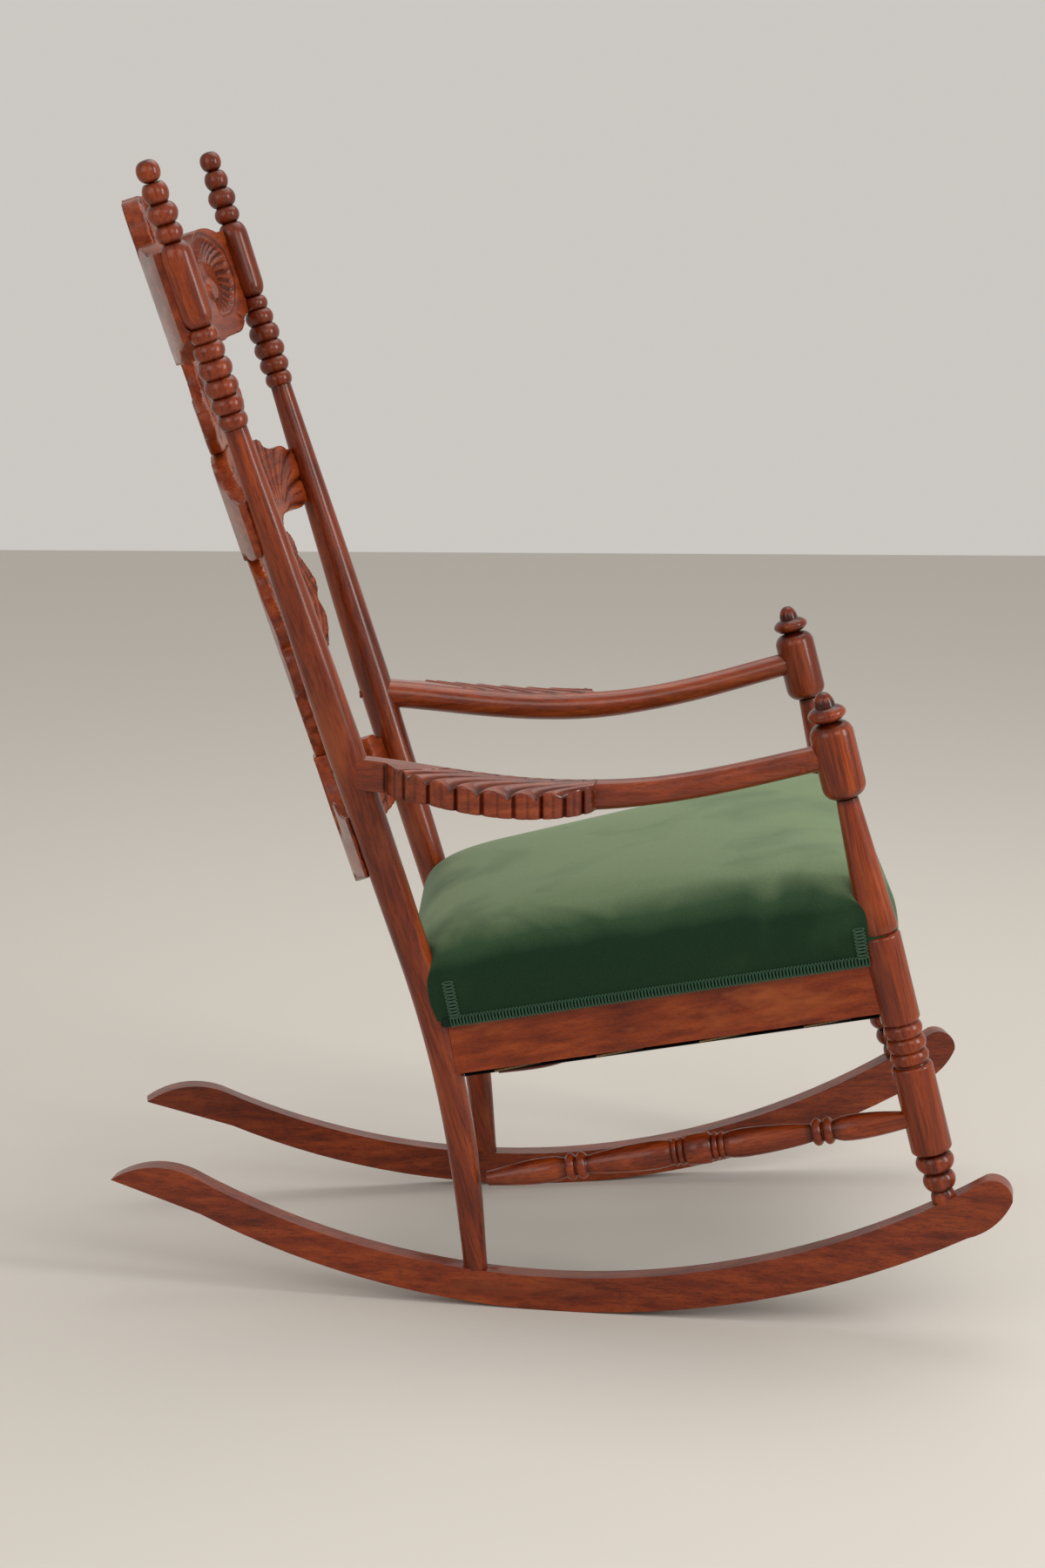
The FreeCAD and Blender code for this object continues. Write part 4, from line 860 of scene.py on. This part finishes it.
def green_velvet():
    material, shader, add, link = new_material("Green velvet")
    place = add("ShaderNodeTexCoord")
    brushed = noise(add, link, place.outputs["Object"], 7.0, 3.0, rough=0.55, distortion=0.4)
    pile = noise(add, link, place.outputs["Object"], 900.0, 2.0)
    # Painted light and shade: lighter where the velvet faces up, darker on its sides, plus
    # random brushed patches.
    normal = add("ShaderNodeNewGeometry")
    split = add("ShaderNodeSeparateXYZ")
    link(normal.outputs["Normal"], split.inputs["Vector"])
    top_light_side_shade = add("ShaderNodeMapRange")
    preset(top_light_side_shade, {"From Min": 0.25, "From Max": 0.95})
    link(split.outputs["Z"], top_light_side_shade.inputs["Value"])
    share = add("ShaderNodeMath")
    share.operation = "ADD"
    scaled = add("ShaderNodeMath")
    scaled.operation = "MULTIPLY_ADD"
    scaled.inputs[1].default_value = 1.45
    scaled.inputs[2].default_value = -0.73
    link(brushed, scaled.inputs[0])
    link(top_light_side_shade.outputs["Result"], share.inputs[0])
    link(scaled.outputs[0], share.inputs[1])
    tone = ramp(add, link, share.outputs[0], [
        (0.0, (0.010, 0.031, 0.014)), (0.52, (0.030, 0.066, 0.031)),
        (1.0, (0.125, 0.182, 0.096))])
    speck = ramp(add, link, pile, [(0.3, (0.55, 0.55, 0.55)), (0.65, (1.25, 1.25, 1.25))])
    color = mixed(add, link, "MULTIPLY", 0.5, tone, speck)
    link(color, shader.inputs["Base Color"])
    preset(shader, {"Roughness": 0.92, "Specular IOR Level": 0.1, "Sheen Weight": 0.40,
                    "Sheen Roughness": 0.42, "Sheen Tint": (0.62, 0.76, 0.54, 1)})
    bump = add("ShaderNodeBump")
    preset(bump, {"Strength": 0.25, "Distance": 0.0006})
    link(pile, bump.inputs["Height"])
    link(bump.outputs["Normal"], shader.inputs["Normal"])
    return material


velvet = green_velvet()
free_level = 0.150
easing_depth = 0.030
most_fill = 0.005
shrink = 0.002
cushion = own_piece("seat_velvet_cover", cushion_mesh(shrink), velvet, "velvet", "seat_cover")
start_points = vectors(cushion.data.vertices, "co")
held = cushion.vertex_groups.new(name="tacked")
level = (start_points - seat_origin) @ seat_square
for index, share in enumerate(np.clip((free_level - level) / easing_depth, 0, 1)):
    held.add([index], float(share), "REPLACE")
cloth = cushion.modifiers.new("Filling", "CLOTH")
cloth.settings.use_pressure = True
cloth.settings.uniform_pressure_force = 4.0
cloth.settings.vertex_group_mass = "tacked"
cloth.settings.tension_stiffness = 25
cloth.settings.compression_stiffness = 25
cloth.settings.effector_weights.gravity = 0.0
for frame_number in range(1, 21):
    bpy.context.scene.frame_set(frame_number)
pulled = result_of(cushion)
bpy.context.scene.frame_set(1)
points = vectors(pulled.vertices, "co")
ways = vectors(cushion.data.vertex_normals, "vector")
moved = ((points - start_points) * ways).sum(1)
fill = np.clip(moved, 0.0, most_fill)
ends = np.array([edge.vertices[:] for edge in cushion.data.edges])
shared = np.bincount(ends.ravel(), minlength=len(fill))
smoothing_passes = 12
for _ in range(smoothing_passes):
    total = np.bincount(ends[:, 0], fill[ends[:, 1]], len(fill))
    total += np.bincount(ends[:, 1], fill[ends[:, 0]], len(fill))
    fill = 0.5 * fill + 0.5 * total / shared
cushion.modifiers.remove(cloth)
cushion.vertex_groups.clear()
set_points(cushion.data, start_points + ways * fill[:, None])
bpy.data.meshes.remove(pulled)


def clear_of_post(points, place_at, low, high, reach):
    """Cloth drawn round a post instead of running through it."""
    for distance in np.linspace(low, high, 60):
        centre, way = place_at(distance)
        for sign in (1, -1):
            middle = centre * [1, sign, 1]
            line = way * [1, sign, 1]
            away = points - middle
            along = away @ line
            radial = away - along[:, None] * line
            radius = np.linalg.norm(radial, axis=1)
            inside = (np.abs(along) < 0.006) & (radius < reach)
            points[inside] += radial[inside] / np.maximum(radius[inside], 1e-6)[:, None] \
                * (reach - radius[inside])[:, None]
    return points


cover_points = vectors(cushion.data.vertices, "co")
cover_points = clear_of_post(cover_points, rear_place, low=0.78, high=1.02, reach=0.0182)
cover_points = clear_of_post(cover_points, front_place, low=0.17, high=0.36, reach=0.0200)
set_points(cushion.data, cover_points)
cushion.data.shade_smooth()
cushion.data.update()
smoothing = cushion.modifiers.new("Soft skin", "SUBSURF")
smoothing.levels = 1
smoothing.render_levels = 1


# Below and inside the cover: jute webbing in two layers, burlap over the springs, the
# matted stuffing and a black cotton dust cover under the rails.
def plain_cloth(name, color, scale, contrast, sheen=0.0):
    material, shader, add, link = new_material(name)
    place = add("ShaderNodeTexCoord")
    weave = noise(add, link, place.outputs["Object"], scale, 3.0)
    shaded = [channel * contrast for channel in color]
    tone = ramp(add, link, weave, [(0.3, shaded), (0.7, color)])
    link(tone, shader.inputs["Base Color"])
    preset(shader, {"Roughness": 0.95, "Specular IOR Level": 0.15, "Sheen Weight": sheen})
    return material


jute = plain_cloth("Jute", (0.27, 0.18, 0.09), 500.0, 0.5)
fibre = plain_cloth("Matted fibre", (0.30, 0.25, 0.17), 160.0, 0.45)
black_cotton = plain_cloth("Black cotton", (0.012, 0.012, 0.013), 700.0, 0.5)
for node_name in ("webbing_lengthwise", "webbing_crosswise", "spring_burlap"):
    dress(nodes[node_name], jute)
stuffing = own_piece("matted_stuffing", merged_copy("seat_stuffing"), fibre, "stuffing",
                     "seat_stuffing")
stuffing_inset = 0.0055
stuffing_ways = vectors(stuffing.data.vertex_normals, "vector")
stuffing_points = vectors(stuffing.data.vertices, "co") - stuffing_inset * stuffing_ways
set_points(stuffing.data, stuffing_points)
dress(nodes["dust_cover"], black_cotton)


# The braid: a narrow looped gimp glued over the raw edge of the velvet along the rails,
# turned up for a short way beside each post.
braid_green = plain_cloth("Braid green", (0.034, 0.098, 0.052), 900.0, 0.6, sheen=0.25)
# Painted shade: a darker copy of the braid's green for the ground seen between the loops.
braid_shade_ground = plain_cloth("Braid shaded ground", (0.009, 0.030, 0.017), 900.0, 0.6)


def looped_braid():
    tree, given, out = new_group(
        "Looped braid", "GeometryNodeTree",
        {"Path": "Geometry", "Pitch": "Float", "Half width": "Float", "Half height": "Float",
         "Yarn": "Float", "Material": "Material"}, {"Braid": "Geometry"})
    add = tree.nodes.new
    link = tree.links.new
    path = add("GeometryNodeMeshToCurve")
    link(given.outputs["Path"], path.inputs["Mesh"])
    spaced = add("GeometryNodeResampleCurve")
    spaced.mode = "LENGTH"
    link(path.outputs["Curve"], spaced.inputs["Curve"])
    link(given.outputs["Pitch"], spaced.inputs["Length"])
    points = add("GeometryNodeCurveToPoints")
    points.mode = "EVALUATED"
    link(spaced.outputs["Curve"], points.inputs["Curve"])
    loop = add("GeometryNodeCurvePrimitiveCircle")
    preset(loop, {"Resolution": 14, "Radius": 1.0})
    size = add("ShaderNodeCombineXYZ")
    link(given.outputs["Half width"], size.inputs["X"])
    link(given.outputs["Half height"], size.inputs["Y"])
    drawn = add("GeometryNodeTransform")
    link(loop.outputs["Curve"], drawn.inputs["Geometry"])
    link(size.outputs["Vector"], drawn.inputs["Scale"])
    yarn = add("GeometryNodeCurvePrimitiveCircle")
    yarn.inputs["Resolution"].default_value = 5
    link(given.outputs["Yarn"], yarn.inputs["Radius"])
    ring = add("GeometryNodeCurveToMesh")
    link(drawn.outputs["Geometry"], ring.inputs["Curve"])
    link(yarn.outputs["Curve"], ring.inputs["Profile Curve"])
    turns = []
    for name, axis in (("outward", "Z"), ("upright", "Y")):
        given_way = add("GeometryNodeInputNamedAttribute")
        given_way.data_type = "FLOAT_VECTOR"
        given_way.inputs["Name"].default_value = name
        turn = add("FunctionNodeAlignRotationToVector")
        turn.axis = axis
        link(given_way.outputs["Attribute"], turn.inputs["Vector"])
        turns.append(turn)
    turns[1].pivot_axis = "Z"
    link(turns[0].outputs["Rotation"], turns[1].inputs["Rotation"])
    placed = add("GeometryNodeInstanceOnPoints")
    link(points.outputs["Points"], placed.inputs["Points"])
    link(ring.outputs["Mesh"], placed.inputs["Instance"])
    link(turns[1].outputs["Rotation"], placed.inputs["Rotation"])
    real = add("GeometryNodeRealizeInstances")
    link(placed.outputs["Instances"], real.inputs["Geometry"])
    painted = add("GeometryNodeSetMaterial")
    link(real.outputs["Geometry"], painted.inputs["Geometry"])
    link(given.outputs["Material"], painted.inputs["Material"])
    link(painted.outputs["Geometry"], out.inputs["Braid"])
    return tree


braid_tree = looped_braid()


def cover_half_width(ahead, level):
    """How far out the velvet stands at a place along the side."""
    inset = float(np.interp(level, crown_sections[:6, 1], crown_sections[:6, 0]))
    share = (ahead - rear_corner[0]) / (front_corner[0] - rear_corner[0])
    half = rear_corner[1] + (front_corner[1] - rear_corner[1]) * share
    return half + cover_stand - inset


def braid_rows():
    """The braid's centre lines: place ahead, across and level, the way out and the way up."""
    low = 0.0605
    stand = 0.0026
    rear_turn = 0.0185
    front_turn = 0.4520
    lines = []
    for sign in (1, -1):
        out = np.array([0.0, sign, 0.0])
        rise = [(rear_turn, sign * (cover_half_width(rear_turn, level) + stand), level)
                for level in np.linspace(0.104, low + 0.005, 12)]
        run = [(ahead, sign * (cover_half_width(ahead, low) + stand), low)
               for ahead in np.linspace(rear_turn - 0.0040, front_turn + 0.0040, 90)]
        end = [(front_turn, sign * (cover_half_width(front_turn, level) + stand), level)
               for level in np.linspace(low + 0.005, 0.096, 12)]
        lines += [(rise, out, seat_ahead), (run, out, seat_square), (end, out, seat_ahead)]
    for ahead, half, way in ((front_corner[0] + 0.0180, 0.258, 1),
                             (rear_corner[0] - 0.0180, 0.185, -1)):
        line = [(ahead, across, low) for across in np.linspace(-half, half, 80)]
        lines.append((line, way * seat_ahead, seat_square))
    return lines


braid_points = []
braid_ways = []
braid_ups = []
braid_edges = []
for line, way, up in braid_rows():
    first = len(braid_points)
    for ahead, across, level in line:
        braid_points.append(tuple(on_seat(ahead, across, level)))
        braid_ways.append(way)
        braid_ups.append(up)
    braid_edges += [(index, index + 1) for index in range(first, len(braid_points) - 1)]
braid_path = bpy.data.meshes.new("braid_path")
braid_path.from_pydata(braid_points, braid_edges, [])
for name, ways in (("outward", braid_ways), ("upright", braid_ups)):
    layer = braid_path.attributes.new(name, "FLOAT_VECTOR", "POINT")
    layer.data.foreach_set("vector", np.array(ways, np.float32).ravel())
braid_line = in_scene("braid_line", braid_path)
braiding = braid_line.modifiers.new("Looped braid", "NODES")
braiding.node_group = braid_tree
sockets = {item.name: item.identifier for item in braid_tree.interface.items_tree
           if item.in_out == "INPUT"}
braiding[sockets["Material"]] = braid_green
loop_sizes = {"Pitch": 0.0036, "Half width": 0.0015, "Half height": 0.0058, "Yarn": 0.00065}
for name, size in loop_sizes.items():
    braiding[sockets[name]] = size
braid_mesh = result_of(braid_line)
bpy.data.objects.remove(braid_line)
braid_mesh.shade_smooth()
own_piece("seat_braid_loops", braid_mesh, braid_green, "braid")
dress(nodes["seat_gimp"], braid_shade_ground)


# The room: a plain pale floor, a pale surround, soft lamps and the photograph's camera.
scene = bpy.context.scene
scene.view_settings.view_transform = "Standard"
floor_mesh = bpy.data.meshes.new("floor")
floor_mesh.from_pydata([(-6, -6, 0), (6, -6, 0), (6, 6, 0), (-6, 6, 0)], [], [(0, 1, 2, 3)])
floor = in_scene("floor", floor_mesh)
floor_paint, floor_shader = new_material("Pale floor")[:2]
preset(floor_shader, {"Base Color": (0.62, 0.59, 0.55, 1), "Roughness": 0.75})
floor_mesh.materials.append(floor_paint)

world = bpy.data.worlds.new("Pale room")
scene.world = world
world.use_nodes = True
preset(world.node_tree.nodes["Background"], {"Color": (1.0, 0.965, 0.91, 1), "Strength": 0.60})


def soft_lamp(name, place, aim_height, size, power):
    data = bpy.data.lights.new(name, "AREA")
    data.shape = "RECTANGLE"
    data.size, data.size_y = size
    data.energy = power
    data.color = (1.0, 0.97, 0.92)
    lamp = in_scene(name, data)
    lamp.location = place
    way = Vector((0.0, 0.0, aim_height)) - Vector(place)
    lamp.rotation_euler = way.to_track_quat("-Z", "Y").to_euler()


soft_lamp("window light", (2.9, -1.3, 1.9), 0.6, (0.7, 2.0), 50)
soft_lamp("front light", (1.4, -3.0, 2.6), 0.6, (1.6, 1.6), 20)
soft_lamp("fill light", (-2.2, -2.8, 2.0), 0.6, (2.0, 2.0), 22)
soft_lamp("top light", (0.4, 0.8, 3.2), 0.5, (2.2, 2.2), 34)

camera_data = bpy.data.cameras.new("photograph")
camera_data.sensor_width = 36.0
focal_pixels = 3830
picture_height = 1800
camera_data.lens = focal_pixels / picture_height * camera_data.sensor_width
camera = in_scene("photograph", camera_data)
right = Vector((0.99985962, 0.01640246, 0.0034207))
upright = Vector((-0.00661905, 0.19911629, 0.97995352))
ahead = Vector((-0.01539253, 0.97983859, -0.1991969))
turn = Matrix((right, upright, -ahead)).transposed().to_4x4()
camera.matrix_world = Matrix.Translation((0.0195, -3.648, 1.275)) @ turn
scene.camera = camera
